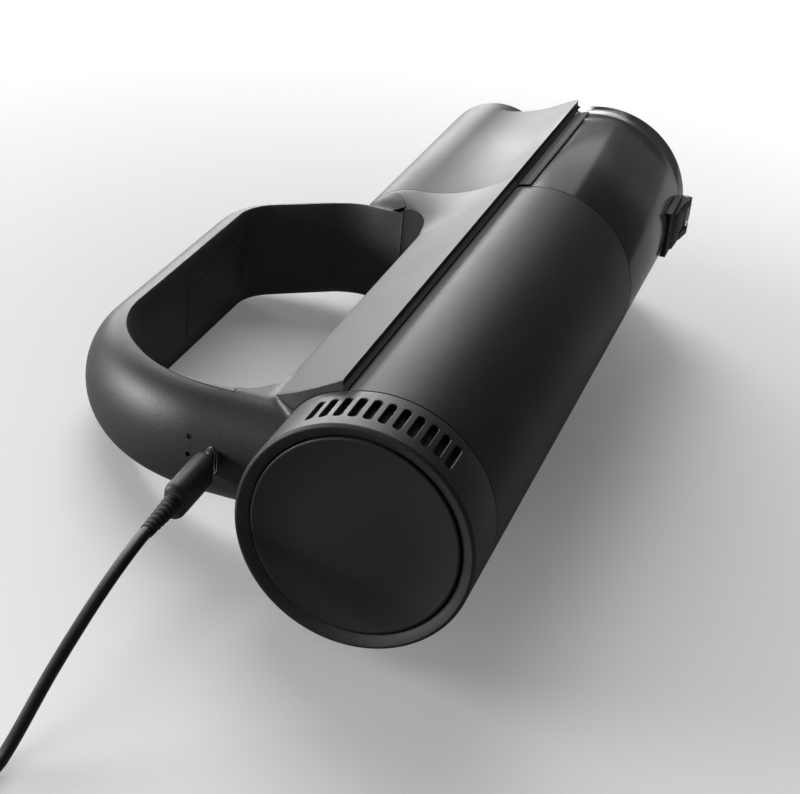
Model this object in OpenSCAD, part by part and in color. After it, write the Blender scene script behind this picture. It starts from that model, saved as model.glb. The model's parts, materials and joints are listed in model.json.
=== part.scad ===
// Handheld cordless vacuum: barrel with motor and battery, loop handle with
// a trigger, suction pipe over a see-through cyclone dust cup, charging lead.
// It lies on its side. Working frame of the modules below: x runs forward
// along the barrel axis from the rear rim, z points to the handle, y sideways.

/* [Barrel] */
// Outer diameter of the cap, barrel, dust cup and lid
body_d = 70; // [68:0.5:76]
// Wall of the cap and barrel
body_wall = 2; // [1.6:0.1:2.6]
// Length of the slotted rear cap
cap_len = 21.5; // [20.5:0.5:26]
// Length of the barrel between cap and dust cup
barrel_len = 177.5; // [177:0.5:190]
// Width of the rim face between the cap's outer surface and the disc
rim_face = 4.5; // [4:0.1:8]
// Thickness of the rear disc
disc_t = 2; // [1.5:0.1:2.4]
// Depth of the disc below the rear rim
disc_depth = 1.1; // [0.5:0.1:1.8]
// Width of the grooves between shells
groove = 0.3; // [0.2:0.05:0.5]

/* [Exhaust slots] */
// Number of slots on each side of the cap
slot_count = 11; // [6:1:11]
// Length of a slot
slot_len = 11.6; // [8:0.1:12]
// Width of a slot
slot_w = 2.4; // [1.2:0.1:2.8]
// Angle between slots
slot_pitch = 7; // [6:0.1:7.5]
// Angle of the first slot from the handle side
slot_first = 60.8; // [58:0.1:62]

/* [Handle] */
// Height of the grip's inner face above the barrel axis
grip_h = 99.8; // [94:0.2:108]
// Width of the handle
handle_w = 36; // [34:0.5:38]
// Thickness of the grip from its inner to its outer face
grip_t = 14; // [13:0.2:16]
// Thickness of the lining inside the loop
liner_t = 1.6; // [1.2:0.1:2]
// Height of the saddle face inside the loop above the axis
saddle_h = 38.9; // [38.4:0.1:42]
// Height of the saddle flange edge above the axis
flange_h = 13.3; // [12.5:0.1:15]
// How far the flange edge stands out from the barrel surface
flange_out = 3.5; // [3:0.1:4.5]

/* [Suction pipe] */
// Outer diameter of the pipe over the dust cup
pipe_d = 46.6; // [44:0.2:48]
// Height of the pipe's centre above the barrel axis
pipe_h = 48.3; // [47:0.1:50]
// Bore of the socket that takes a nozzle
socket_d = 30; // [28:0.5:31]
// Depth of the nozzle socket
socket_len = 30; // [22:1:34]
// Height of the socket's centre above the barrel axis
socket_h = 54.4; // [53.8:0.1:55]
// How far the pipe reaches past the lid
pipe_over = 13; // [10:0.5:18]
// How far the round collar stands out in front of the pipe's flanks
collar_len = 8.3; // [4:0.1:10]

/* [Dust cup] */
// Length of the see-through cup
cup_len = 92; // [90:1:110]
// Wall of the cup
cup_wall = 1.8; // [1.4:0.1:2.2]
// Length of the lid in front of the cup
lid_len = 12; // [10:0.5:14]
// Wall of the lid
lid_wall = 2; // [1.6:0.1:2.6]
// Angle that each strip along the cup covers
rail_span = 8; // [6:0.5:10]
// Outer diameter of the mesh cage
cage_d = 48; // [40:1:50]
// Number of windows round the mesh cage
window_count = 10; // [6:1:12]
// Diameter of the cone's outlet at the lid
outlet_d = 17.6; // [14:0.2:20]

/* [Lid hinge] */
// Diameter of the hinge pin
pin_d = 1.6; // [1.4:0.1:2]
// Diameter of the hinge knuckles
knuckle_d = 4.4; // [4:0.1:5]
// Width of the middle knuckle
knuckle_w = 8; // [7:0.5:9]

/* [Trigger and buttons] */
// Length of the finger trigger
trigger_len = 49; // [40:1:54]
// Width of the finger trigger
trigger_w = 20; // [16:0.5:21]
// Travel of the trigger
trigger_travel = 2; // [1.5:0.1:2.2]
// Length of a release button, point to point
release_len = 19; // [17:0.5:20]
// Width of a release button
release_w = 8; // [6:0.5:8.5]
// How far a release button stands out of the pipe
release_out = 0.5; // [0.3:0.1:0.8]

/* [Motor and battery] */
// Diameter of the motor can
motor_d = 38; // [34:1:42]
// Diameter of the motor shaft
shaft_d = 4; // [3:0.1:5]
// Diameter of the fan wheel
fan_d = 51; // [46:1:53]
// Number of fan blades
blade_count = 9; // [7:1:11]
// Diameter of a battery cell
cell_d = 18.4; // [18:0.1:18.6]
// Length of a battery cell
cell_len = 65; // [63:0.5:66]

/* [Charging lead] */
// Diameter of the lead
lead_d = 3.5; // [3:0.1:3.5]
// How far the plug is pushed into its socket at rest
plug_in = 2; // [1:0.1:4]
// Mean diameter of the coil of spare lead
coil_d = 41; // [38:0.5:44]

/* [Clearances] */
// Gap between parts that sit in or on each other
fit = 0.2; // [0.15:0.01:0.25]
// Radial running clearance of the motor shaft in its bearings
run_fit = 0.03; // [0.02:0.01:0.08]

/* [Hidden] */
$fn = 96;

// ---- stations along the barrel axis
body_r = body_d / 2;
in_r = body_r - body_wall;
x_barrel = cap_len;
x_cup = x_barrel + barrel_len;
x_lid = x_cup + cup_len;
x_front = x_lid + lid_len;
seam_step = 2.2;                       // the pipe's parting line lies this far in front of the cup's
x_seam = x_cup + seam_step;
x_pipe = x_front + pipe_over;

// ---- saddle flange and pipe section
pipe_r = pipe_d / 2;
flange_r = body_r + flange_out;
flange_y = sqrt(flange_r * flange_r - flange_h * flange_h);
lip = 1.6;                             // thickness of the flange's edge
lip_in = 2.4;                          // how far the wall below the flange stands back
blend_steps = 7;

// ---- side view of the handle, as corners of rounded outlines
half_w = handle_w / 2;
leg_t = 13;                            // rear leg, fore and aft
front_leg_t = 11.5;
rear_leg_x = x_barrel + leg_t + 0.1;
front_leg_x = x_seam - front_leg_t;
leg_lean = 1.3;                        // the rear leg leans forward by this much
rear_corner = [26.7, 25.6];            // run and drop of the rear upper corner
front_corner = [22.4, 31.5];           // run and drop of the front upper corner
loop_corners = [[rear_leg_x, saddle_h], [rear_leg_x + leg_lean, grip_h - rear_corner.y],
    [rear_leg_x + rear_corner.x, grip_h], [front_leg_x - front_corner.x, grip_h],
    [front_leg_x, grip_h - front_corner.y], [front_leg_x, saddle_h]];
loop_radii = [16, 45, 38, 16, 22, 13];
arc_steps = 7;
open_steps = 10;

// ---- how the vacuum lies: on a flange edge and on the grip
function reach(a) = flange_y * cos(a) + flange_h * sin(a)
    - grip_h * sin(a) - norm([grip_t * sin(a), half_w * cos(a)]);
function solve_tilt(lo, hi, n) = n == 0 ? (lo + hi) / 2
    : let(mid = (lo + hi) / 2) reach(mid) > 0 ? solve_tilt(mid, hi, n - 1) : solve_tilt(lo, mid, n - 1);
tilt = solve_tilt(0, 45, 40);
rest_h = flange_y * cos(tilt) + flange_h * sin(tilt);

// ---- lid hinge
pin_r = pin_d / 2;
knuckle_r = knuckle_d / 2;
ear_w = 3.2;
ear_y = knuckle_w / 2 + 0.4 + ear_w;   // half width over the ears
hinge_x = x_lid - 0.2;
hinge_gap = 0.5;                       // between the knuckles and the lid
hinge_h = -(body_r + knuckle_r + hinge_gap);

// ---- centre of the bounding box in plan
y_high = grip_h * cos(tilt) + norm([grip_t * cos(tilt), half_w * sin(tilt)]);
y_low = hinge_h * cos(tilt) - knuckle_r - ear_y * sin(tilt);
mid_x = x_pipe / 2;
mid_y = (y_high + y_low) / 2;

module lay() translate([-mid_x, -mid_y, rest_h]) rotate([-90 - tilt, 0, 0]) children();
module on_floor() translate([-mid_x, -mid_y, 0]) children();

// ---- finish colours
black_plastic = [0.16, 0.16, 0.165];
dark_plastic = [0.09, 0.09, 0.095];
smoke = [0.25, 0.26, 0.27, 0.5];
rubber_black = [0.05, 0.05, 0.05];
steel = [0.72, 0.73, 0.75];

// ---- helpers
function unit(v) = v / norm(v);
function at(v, i) = v[(i + len(v)) % len(v)];
// corners of an outline whose edge i, from corner i to i + 1, is moved out by d[i]
function edge_normal(v, i) = let(e = unit(at(v, i + 1) - at(v, i))) [-e.y, e.x];
function moved_corner(v, d, i) = let(n0 = edge_normal(v, i - 1), n1 = edge_normal(v, i),
    c0 = n0 * v[i] + at(d, i - 1), c1 = n1 * v[i] + d[i], det = n0.x * n1.y - n0.y * n1.x)
    [(c0 * n1.y - c1 * n0.y) / det, (n0.x * c1 - n1.x * c0) / det];
function moved(v, d) = [for (i = [0 : len(v) - 1]) moved_corner(v, d, i)];
// round corner i: list of [point, unit vector towards the arc's centre]
function corner(v, i, r, n) = let(p = v[i], a = unit(at(v, i - 1) - p), b = unit(at(v, i + 1) - p),
    half = acos(a * b) / 2, c = p + unit(a + b) * r / sin(half),
    s = p + a * r / tan(half) - c, e = p + b * r / tan(half) - c, t0 = atan2(s.y, s.x),
    dt = (atan2(e.y, e.x) - t0 + 540) % 360 - 180)
    [for (k = [0 : n]) let(t = t0 + dt * k / n) [c + r * [cos(t), sin(t)], -[cos(t), sin(t)]]];
function rounded(v, r, n) = [for (i = [0 : len(v) - 1]) each [for (f = corner(v, i, r[i], n)) f[0]]];

module rod_x(r, x0, x1) translate([x0, 0, 0]) rotate([0, 90, 0]) cylinder(r = r, h = x1 - x0);
module tube_x(r1, r0, x0, x1) difference() {
    rod_x(r1, x0, x1);
    rod_x(r0, x0 - 1, x1 + 1);
}
// profile of [x, radius] points turned round the barrel axis
module turned(profile) rotate([0, 90, 0]) rotate_extrude() polygon([for (p = profile) [p.y, p.x]]);
// outline of [x, z] points, from y = -w / 2 to w / 2
module across(outline, w) translate([0, w / 2, 0]) rotate([90, 0, 0]) linear_extrude(w) polygon(outline);
// child outline in [y, z], run along x
module along(x0, x1) translate([x0, 0, 0]) rotate([90, 0, 90]) linear_extrude(x1 - x0) children();
module box(x0, x1, y0, y1, z0, z1) translate([x0, y0, z0]) cube([x1 - x0, y1 - y0, z1 - z0]);
module stadium(w, h) {
    square([w - h, h], center = true);
    for (s = [-1, 1]) translate([s * (w - h) / 2, 0]) circle(d = h, $fn = 32);
}
// closed skin through rings of points, all of the same count
module skin(rings) {
    n = len(rings[0]);
    m = len(rings);
    polyhedron(points = [for (r = rings) each r],
        faces = concat([[for (i = [n - 1 : -1 : 0]) i]],
            [for (j = [0 : m - 2], i = [0 : n - 1]) let(k = (i + 1) % n)
                [j * n + i, j * n + k, (j + 1) * n + k, (j + 1) * n + i]],
            [[for (i = [0 : n - 1]) (m - 1) * n + i]]), convexity = 8);
}
// wire spring along z, from z = 0 up to z = h at the centres of its end turns
module coil_spring(d, wire, turns, h) {
    sides = 6;
    per_turn = 9;
    skin([for (k = [0 : turns * per_turn]) let(a = 360 * k / per_turn)
        [for (i = [0 : sides - 1]) let(b = 360 * i / sides)
            [(d / 2 + wire / 2 * cos(b)) * cos(a), (d / 2 + wire / 2 * cos(b)) * sin(a),
                h * k / (turns * per_turn) + wire / 2 * sin(b)]]]);
}

// ---- barrel and cap
disc_r = body_r - rim_face;
disc_gap = 0.4;                        // dark ring round the disc
rim_w = 0.3;                           // rounding of the rear rim
ledge_x = disc_depth + disc_t + 0.2;   // the disc lies on this ledge
ledge_t = 1.4;
ledge_r = disc_r - 2.5;
spigot_len = 5.5;
slot_x = 5.4 + slot_len / 2;

module barrel_shell() lay() color(black_plastic) difference() {
    union() {
        tube_x(body_r, in_r, x_barrel + groove / 2, x_cup - groove / 2);
        // rings that locate the battery, the motor and the filter
        for (x = [holder_x0 - 1.8, holder_x1 + 0.2, ring_x0 - 1.8, filter_x0 - 1.8])
            tube_x(in_r + 0.5, in_r - 2, x, x + 1.6);
    }
    for (p = screw_spots) translate([p.x, p.y, 0]) cylinder(r = screw_r + 0.3, h = body_r + 2, $fn = 32);
}

module rear_cap() lay() color(black_plastic) difference() {
    turned([[0, body_r - 0.9], [rim_w, body_r - rim_w], [rim_w * 3, body_r], [x_barrel - groove / 2, body_r],
        [x_barrel - groove / 2, in_r - fit], [x_barrel + spigot_len, in_r - fit],
        [x_barrel + spigot_len, in_r - fit - 1.6], [x_barrel - 1.5, in_r - fit - 1.6],
        [x_barrel - 2.5, in_r], [ledge_x + ledge_t, in_r], [ledge_x + ledge_t, ledge_r],
        [ledge_x, ledge_r], [ledge_x, disc_r + disc_gap], [disc_depth + 0.7, disc_r + disc_gap],
        [rim_w / 2, body_r - 1.3]]);
    for (side = [-1, 1], k = [0 : slot_count - 1])
        rotate([-side * (slot_first + slot_pitch * k), 0, 0])
            translate([slot_x, 0, ledge_r]) linear_extrude(body_r) stadium(slot_len, slot_w);
}

module rear_disc() lay() color(dark_plastic) turned([[disc_depth, 0], [disc_depth, disc_r - 1],
    [disc_depth - 0.15, disc_r - 0.7], [disc_depth, disc_r - 0.2], [disc_depth + 0.3, disc_r],
    [disc_depth + disc_t, disc_r], [disc_depth + disc_t, ledge_r - fit],
    [ledge_x + ledge_t + 1.4, ledge_r - fit], [ledge_x + ledge_t + 1.4, ledge_r - 1.6],
    [disc_depth + disc_t, ledge_r - 1.6], [disc_depth + disc_t, 0]]);

foam_x = ledge_x + ledge_t + 0.2;
module exhaust_foam() lay() color([0.2, 0.2, 0.21])
    tube_x(in_r - 0.3, in_r - 3.6, foam_x, x_barrel - 2.7);

// ---- handle
foot_deep = 12;                        // the loop's feet reach this far below the saddle's top
band_r = [for (i = [0 : 5]) loop_radii[i] + (i == 0 || i == 5 ? 0 : grip_t)];
band_corners = let(v = moved(loop_corners, [leg_t, grip_t, grip_t, grip_t, front_leg_t - groove / 2, 0]))
    [for (i = [0 : 5]) i == 0 || i == 5 ? [v[i].x, saddle_h - foot_deep] : v[i]];
function end_frame(p, q) = let(e = unit(q - p)) [p, [e.y, -e.x]];
band_path = concat([end_frame(band_corners[0], band_corners[1])],
    [for (i = [1 : 4]) each corner(band_corners, i, band_r[i], arc_steps)],
    [let(f = end_frame(band_corners[4], band_corners[5])) [band_corners[5], f[1]]]);
band_steps = 12;
band_spare = 2;                        // trimmed off by the loop's opening
// half round section: the outer face is an elliptic arch, the inner one is flat
function band_ring(f) = concat(
    [for (k = [0 : band_steps]) let(a = -90 + 180 * k / band_steps,
        q = f[0] + f[1] * grip_t * (1 - cos(a))) [q.x, half_w * sin(a), q.y]],
    [for (s = [1, -1]) let(q = f[0] + f[1] * (grip_t + band_spare)) [q.x, s * half_w, q.y]]);
module band() skin([for (f = band_path) band_ring(f)]);

// half sections from the flange edge to the middle, as [y, z]
function saddle_half() = concat(
    [for (k = [0 : blend_steps - 1]) let(u = k / blend_steps)
        [flange_y + (half_w - flange_y) * u, flange_h + (saddle_h - flange_h) * u]],
    [for (k = [0 : 6]) [half_w * cos(15 * k), saddle_h]]);
function pipe_half() = concat(
    [for (k = [0 : blend_steps - 1]) let(u = k / blend_steps)
        [pipe_r + (flange_y - pipe_r) * (1 - u) * (1 - u), flange_h + (pipe_h - flange_h) * u]],
    [for (k = [0 : 6]) [pipe_r * cos(15 * k), pipe_h + pipe_r * sin(15 * k)]]);
lip_cut = [1.6, 0.3];                  // the lip is undercut, so its edge stays thin
flange_foot = [[flange_y - lip_cut.x, flange_h - lip_cut.y], [flange_y - lip_in, flange_h - lip]];
function section(half) = concat(flange_foot, [for (i = [1, 0]) [-flange_foot[i].x, flange_foot[i].y]],
    [for (p = half) [-p.x, p.y]], [for (i = [len(half) - 1 : -1 : 0]) if (half[i].x > 0.01) half[i]]);
flare_x = x_seam - 30;
flare_steps = 7;
function mix(a, b, s) = [for (i = [0 : len(a) - 1]) a[i] * (1 - s) + b[i] * s];
module flare() skin([for (k = [0 : flare_steps]) let(u = k / flare_steps, s = u * u * (3 - 2 * u),
    x = flare_x + (x_seam - groove / 2 - flare_x) * u)
    [for (p = section(mix(saddle_half(), pipe_half(), s))) [x, p.x, p.y]]]);
// the flange's rear end sweeps up to the loop in an arc, from wing_low to wing_high in the side view
wing_low = [x_barrel + 0.2, flange_h];
wing_high = [rear_leg_x + 2.3, saddle_h];
wing_bow = 1.5;
wing_steps = 6;
function bow(p, q, h, n) = let(e = q - p, l = norm(e), r = (l * l / 4 + h * h) / (2 * h),
    half = asin(l / 2 / r), c = (p + q) / 2 + [e.y, -e.x] / l * (r - h), a = atan2(p.y - c.y, p.x - c.x))
    [for (k = [0 : n]) c + r * [cos(a - 2 * half * k / n), sin(a - 2 * half * k / n)]];
module saddle() difference() {
    along(wing_low.x - 1, flare_x + 0.5) polygon(section(saddle_half()));
    across(concat([[wing_low.x - 2, 0], [wing_low.x - 0.5, 0]],
        bow(wing_low, wing_high, wing_bow, wing_steps), [[wing_low.x - 2, saddle_h + 1]]), body_d * 2);
}
// fills the loop's two lower corners, which the opening then rounds
module loop_foot(x, r) box(x - 0.5, x + r + 0.5, -half_w, half_w, saddle_h - foot_deep, saddle_h + r);
module loop_feet() {
    loop_foot(rear_leg_x, loop_radii[0]);
    loop_foot(front_leg_x - loop_radii[5], loop_radii[5]);
}
liner_foot = grip_h / 2;               // the lining starts this high on both legs
liner_corners = moved(loop_corners, [liner_t, liner_t, liner_t, liner_t, liner_t, 0]);
liner_radii = [for (i = [0 : 5]) i == 0 || i == 5 ? 4 : loop_radii[i] + liner_t];
module loop_opening() across(rounded(loop_corners, loop_radii, open_steps), body_d * 1.5);
module liner_space() intersection() {
    across(rounded(liner_corners, liner_radii, open_steps), body_d * 1.5);
    box(0, x_lid, -body_d, body_d, liner_foot, grip_h * 2);
}

// ---- trigger, in the grip just behind the front leg
trigger_gap = 30.7;                    // from the trigger to the front leg
trigger_x0 = front_leg_x - trigger_gap - trigger_len;
trigger_x1 = trigger_x0 + trigger_len;
trigger_out = 0.9;                     // it stands out of the lining by this much
trigger_flange = 0.8;
trigger_rim = 1;
pocket_h = 4.2 + trigger_travel;       // roof of the trigger's pocket above the lining
trigger_top = grip_h + liner_t + fit + trigger_flange;
pocket_roof = grip_h + liner_t + pocket_h;
// block of the trigger's outline, larger by `grow` on each side
module trigger_block(grow, z0, z1) box(trigger_x0 - grow, trigger_x1 + grow,
    -trigger_w / 2 - grow, trigger_w / 2 + grow, z0, z1);
module trigger_pocket() trigger_block(trigger_rim + fit, grip_h, pocket_roof);

module handle_shell() lay() color(black_plastic) difference() {
    union() {
        band();
        saddle();
        flare();
        loop_feet();
    }
    loop_opening();
    liner_space();
    rod_x(body_r + fit, 0, x_pipe);
    trigger_pocket();
    for (s = [-1, 1]) release_well(s);
    socket_space();
    board_space();
    for (s = [-1, 0, 1]) translate([0, s * light_pitch, light_h])
        rod_x(light_r + fit / 2, x_barrel, board_x0 + 1);
    for (p = screw_spots) translate([p.x, p.y, 0]) cylinder(r = screw_r + 0.1, h = screw_top + 0.4, $fn = 32);
}

module handle_liner() lay() color(dark_plastic) difference() {
    intersection() {
        across(rounded(moved(loop_corners, [for (i = [0 : 5]) i == 5 ? 0 : liner_t - groove / 2]),
            liner_radii, open_steps), handle_w - groove);
        box(0, x_lid, -body_d, body_d, liner_foot + groove, grip_h * 2);
    }
    loop_opening();
    for (s = [-1, 1]) release_well(s);
    trigger_block(fit, grip_h - 5, grip_h + 5);
}

module grip_trigger() lay() color(dark_plastic) {
    trigger_block(0, grip_h - trigger_out, trigger_top - 0.4);
    trigger_block(trigger_rim, trigger_top - trigger_flange, trigger_top);
}
spring_wire = 0.6;
module trigger_spring() lay() color(steel)
    translate([trigger_x0 + 12, 0, trigger_top + spring_wire / 2 + 0.05])
        coil_spring(5, spring_wire, 4, pocket_roof - trigger_top - spring_wire - 0.1);
module trigger_switch() lay() color([0.1, 0.1, 0.1]) {
    box(trigger_x1 - 15, trigger_x1 - 5, -3, 3, trigger_top + trigger_travel + 0.3, pocket_roof);
    translate([trigger_x1 - 10, 0, trigger_top + trigger_travel + 0.1]) cylinder(r = 1, h = 1, $fn = 24);
}

// ---- release buttons on both sides of the pipe's rear end
release_turn = 63;                     // angle round the pipe from its top
release_slant = 33;                    // lean of the button's long axis
release_arc = (release_len * release_len + release_w * release_w) / (4 * release_w);
release_half = release_arc - (release_arc - release_w / 2) * cos(release_slant);
release_x = x_seam - groove / 2 - 0.3 - fit - release_half;
release_depth = 4.5;
release_travel = 1.5;
well_depth = release_depth + release_travel;
spring_seat = 3.2;
// pointed oval of two arcs, its long axis on y
module oval(grow) intersection_for (s = [-1, 1])
    translate([s * (release_arc - release_w / 2), 0]) circle(release_arc + grow);
module release_place(side) translate([release_x, 0, pipe_h]) rotate([-side * release_turn, 0, 0])
    rotate([0, 0, side * release_slant]) children();
// both ends of the button and its well keep clear of the lining
module past_lining(gap) intersection() {
    children();
    box(front_leg_x + gap, x_seam, -body_d, body_d, 0, grip_h);
}
module release_well(side) {
    past_lining(0.4) release_place(side) translate([0, 0, pipe_r - well_depth])
        linear_extrude(pipe_r) oval(fit);
    release_place(side) translate([0, 0, pipe_r - well_depth - spring_seat])
        cylinder(r = 2.4, h = 4, $fn = 32);
}
module release_button(side) lay() color(black_plastic) past_lining(0.6) intersection() {
    release_place(side) translate([0, 0, pipe_r - release_depth]) linear_extrude(pipe_r) oval(0);
    translate([0, 0, pipe_h]) rod_x(pipe_r + release_out, x_cup - 30, x_cup + 30);
}
module release_spring(side) lay() color(steel) release_place(side)
    translate([0, 0, pipe_r - well_depth - spring_seat + 0.25])
        coil_spring(3.4, 0.4, 4, release_travel + spring_seat - 0.5);
module release_button_left() release_button(-1);
module release_button_right() release_button(1);
module release_spring_left() release_spring(-1);
module release_spring_right() release_spring(1);

// ---- charging socket, its board and the three lights in the rear leg
port_h = 51.5;
port_x = x_barrel + 0.6;
socket_w = 9;
socket_t = 3.4;
light_h = 59.2;
light_pitch = 5.7;
light_r = 0.8;
board_t = 1.2;
board_x1 = rear_leg_x - liner_t - 0.4;
board_x0 = board_x1 - board_t;
module usb_outline(grow) rotate(90) stadium(socket_w + 2 * grow, socket_t + 2 * grow);
module socket_space() translate([0, 0, port_h])
    along(x_barrel - 2, board_x0 + 0.5) rotate(90) usb_outline(fit);
module board_space() box(board_x0 - 0.2, rear_leg_x + 2, -9.3, 9.3, port_h - 7.2, light_h + 4.2);
module usb_socket() lay() color(steel) translate([0, 0, port_h]) difference() {
    along(port_x + 0.4, board_x0 - 0.05) rotate(90) usb_outline(0);
    along(port_x - 1, board_x0 - 1.2) rotate(90) usb_outline(-0.2);
}
module charge_board() lay() color([0.05, 0.2, 0.1]) box(board_x0, board_x1, -9, 9, port_h - 7, light_h + 4);
module charge_lights() lay() color([0.75, 0.77, 0.78]) for (s = [-1, 0, 1])
    translate([0, s * light_pitch, light_h]) rod_x(light_r, x_barrel + 2.1, board_x0 - 0.3);

// ---- battery
cell_r = cell_d / 2;
cell_ring = cell_r * 2 / sqrt(3) + 0.6;
holder_t = 4;
cell_seat = 2.4;
holder_x0 = x_barrel + spigot_len + 3;
cell_x0 = holder_x0 + holder_t - cell_seat + 0.1;
holder_x1 = cell_x0 + cell_len + 0.1 + holder_t - cell_seat;
holder_r = in_r - 0.3;
module three() for (k = [0 : 2]) rotate([120 * k, 0, 0]) children();
module holder(x0, pocket_x0) difference() {
    rod_x(holder_r, x0, x0 + holder_t);
    three() translate([0, 0, cell_ring]) rod_x(cell_r + fit, pocket_x0, pocket_x0 + cell_seat + 0.1);
    three() translate([0, 0, -cell_ring * 2]) rod_x(6.5, x0 - 1, x0 + holder_t + 1);
}
module battery_holder_rear() lay() color([0.12, 0.12, 0.13]) holder(holder_x0, cell_x0 - 0.1);
module battery_holder_front() lay() color([0.12, 0.12, 0.13]) {
    holder(holder_x1 - holder_t, holder_x1 - holder_t - 0.05);
    post_spots() difference() {
        rod_x(post_r, holder_x1 - 0.5, board2_x);
        rod_x(1, board2_x - 5, board2_x + 1);
    }
}
module battery_cell(k) lay() color([0.16, 0.42, 0.62]) rotate([120 * k, 0, 0]) translate([0, 0, cell_ring]) {
    rod_x(cell_r, cell_x0, cell_x0 + cell_len - 1);
    rod_x(3.2, cell_x0 + cell_len - 2, cell_x0 + cell_len);
}
module battery_cell_1() battery_cell(0);
module battery_cell_2() battery_cell(1);
module battery_cell_3() battery_cell(2);

// ---- control board on the battery holder's posts
post_len = 6;
post_r = 2.6;
post_off = holder_r * 0.43;
board2_x = holder_x1 + post_len;
board2_t = 1.6;
board2_r = holder_r - 5.7;
module post_spots() three() translate([0, post_off, -post_off]) children();
module control_board() lay() color([0.05, 0.2, 0.1]) {
    difference() {
        rod_x(board2_r, board2_x + 0.05, board2_x + 0.05 + board2_t);
        post_spots() rod_x(1.3, board2_x - 1, board2_x + 4);
        rod_x(5, board2_x - 1, board2_x + 4);
    }
    translate([0, 10, 12]) rod_x(4, board2_x + board2_t, board2_x + board2_t + 8);
    translate([0, -6, 16]) rod_x(3, board2_x + board2_t, board2_x + board2_t + 6);
    for (y = [-14, -7, 0]) box(board2_x + board2_t, board2_x + board2_t + 2, y, y + 5, -22, -16);
}
module board_screws() lay() color(steel) post_spots() {
    rod_x(2.2, board2_x + board2_t + 0.1, board2_x + board2_t + 1.8);
    rod_x(0.9, board2_x - 4, board2_x + board2_t + 1);
}

// ---- motor and fan; the lengths are shares of the room between control board and dust cup
room_len = x_cup - board2_x - board2_t;
motor_r = motor_d / 2;
shaft_r = shaft_d / 2;
can_t = 1.5;
bearing_r = shaft_r + 3.5;
bearing_w = 4;
can_len = room_len * 10 / 31;
can_x0 = board2_x + board2_t + room_len * 4 / 31;
can_x1 = can_x0 + can_len;
fan_r = fan_d / 2;
fan_gap = 5;                           // from the motor can to the fan's back plate
hub_x0 = can_x1 + fan_gap;
fan_len = 12;
ring_x0 = can_x1 + 8;
shroud_r = in_r - 2.4;
shroud_t = 1.4;
module motor_can() lay() color([0.62, 0.63, 0.65]) difference() {
    union() {
        rod_x(motor_r, can_x0, can_x1);
        rod_x(bearing_r + 1.5, can_x0 - 2.5, can_x0 + 1);
    }
    rod_x(motor_r - can_t, can_x0 + can_t + 1, can_x1 + 1);
    rod_x(bearing_r + 0.02, can_x0 - 1.5, can_x0 + can_t + 2);
    rod_x(shaft_r + 0.6, can_x0 - 4, can_x0 + 2);
}
module stator_core() lay() color([0.72, 0.42, 0.2])
    tube_x(motor_r - can_t - 0.1, motor_r / 2 + 0.6, can_x0 + can_len / 5, can_x1 - can_len * 2 / 15);
module bearing(x0) tube_x(bearing_r, shaft_r + run_fit, x0, x0 + bearing_w);
module bearing_rear() lay() color(steel) bearing(can_x0 - 1.45);
module bearing_front() lay() color(steel) bearing(can_x1 + 0.4);
module rotor() lay() color([0.5, 0.5, 0.52]) {
    rod_x(shaft_r, can_x0 - 2, hub_x0 + fan_len - 1);
    rod_x(motor_r / 2, can_x0 + can_len * 7 / 30, can_x1 - can_len / 6);
}
blade_h = 7.5;
module fan_wheel() lay() color([0.55, 0.56, 0.58]) difference() {
    union() {
        rod_x(fan_r, hub_x0, hub_x0 + 1.6);
        turned([[hub_x0, 0], [hub_x0, 9], [hub_x0 + 4, 6.5], [hub_x0 + fan_len - 2, 4.5],
            [hub_x0 + fan_len - 2, 0]]);
        translate([hub_x0 + 1, 0, 0]) rotate([0, 90, 0]) for (k = [0 : blade_count - 1])
            rotate(360 / blade_count * k) linear_extrude(blade_h) intersection() {
                translate([fan_r / 2, -fan_r * 0.32]) difference() {
                    circle(fan_r * 0.62);
                    circle(fan_r * 0.62 - 1);
                }
                difference() {
                    circle(fan_r - 0.2);
                    circle(7);
                }
                translate([0, -fan_r]) square([fan_r * 2, fan_r * 1.5]);
            }
    }
    rod_x(shaft_r + 0.02, hub_x0 - 1, hub_x0 + fan_len + 1);
}
vane_count = 13;
vane_w = 3.2;
vane_lean = 20;
diffuser_r = shroud_r - shroud_t - fit;
vane_mid = (diffuser_r + motor_r) / 2;
vane_half = (diffuser_r - motor_r) / 2 - 1.2;
module diffuser() lay() color([0.13, 0.13, 0.14]) difference() {
    union() {
        rod_x(diffuser_r, can_x1 + 0.2, can_x1 + 3.2);
        rod_x(bearing_r + 1.6, can_x1 + 0.2, can_x1 + 4.6);
    }
    for (k = [0 : vane_count - 1]) rotate([360 / vane_count * k, 0, 0]) translate([0, 0, vane_mid])
        rotate([vane_lean, 0, 0]) box(can_x1 - 1, can_x1 + 4, -vane_w / 2, vane_w / 2, -vane_half, vane_half);
    rod_x(bearing_r + 0.02, can_x1, can_x1 + bearing_w + 0.42);
    rod_x(shaft_r + 0.6, can_x1, can_x1 + 6);
}
eye_r = 13;
shroud_x1 = hub_x0 + blade_h + 6;
module fan_shroud() lay() color([0.13, 0.13, 0.14]) turned([[can_x1 + 0.3, shroud_r],
    [shroud_x1 - 3, shroud_r], [shroud_x1, shroud_r - 5], [shroud_x1, eye_r], [shroud_x1 - 3, eye_r],
    [shroud_x1 - 3.4, eye_r + 2], [shroud_x1 - 4.4, shroud_r - shroud_t],
    [can_x1 + 0.3, shroud_r - shroud_t]]);
module motor_ring() lay() color(rubber_black)
    tube_x(in_r - 0.2, shroud_r + 0.15, ring_x0, shroud_x1 - 3.2);
spider_x = can_x0 + can_len / 10;
spider_len = can_len / 5;
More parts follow.
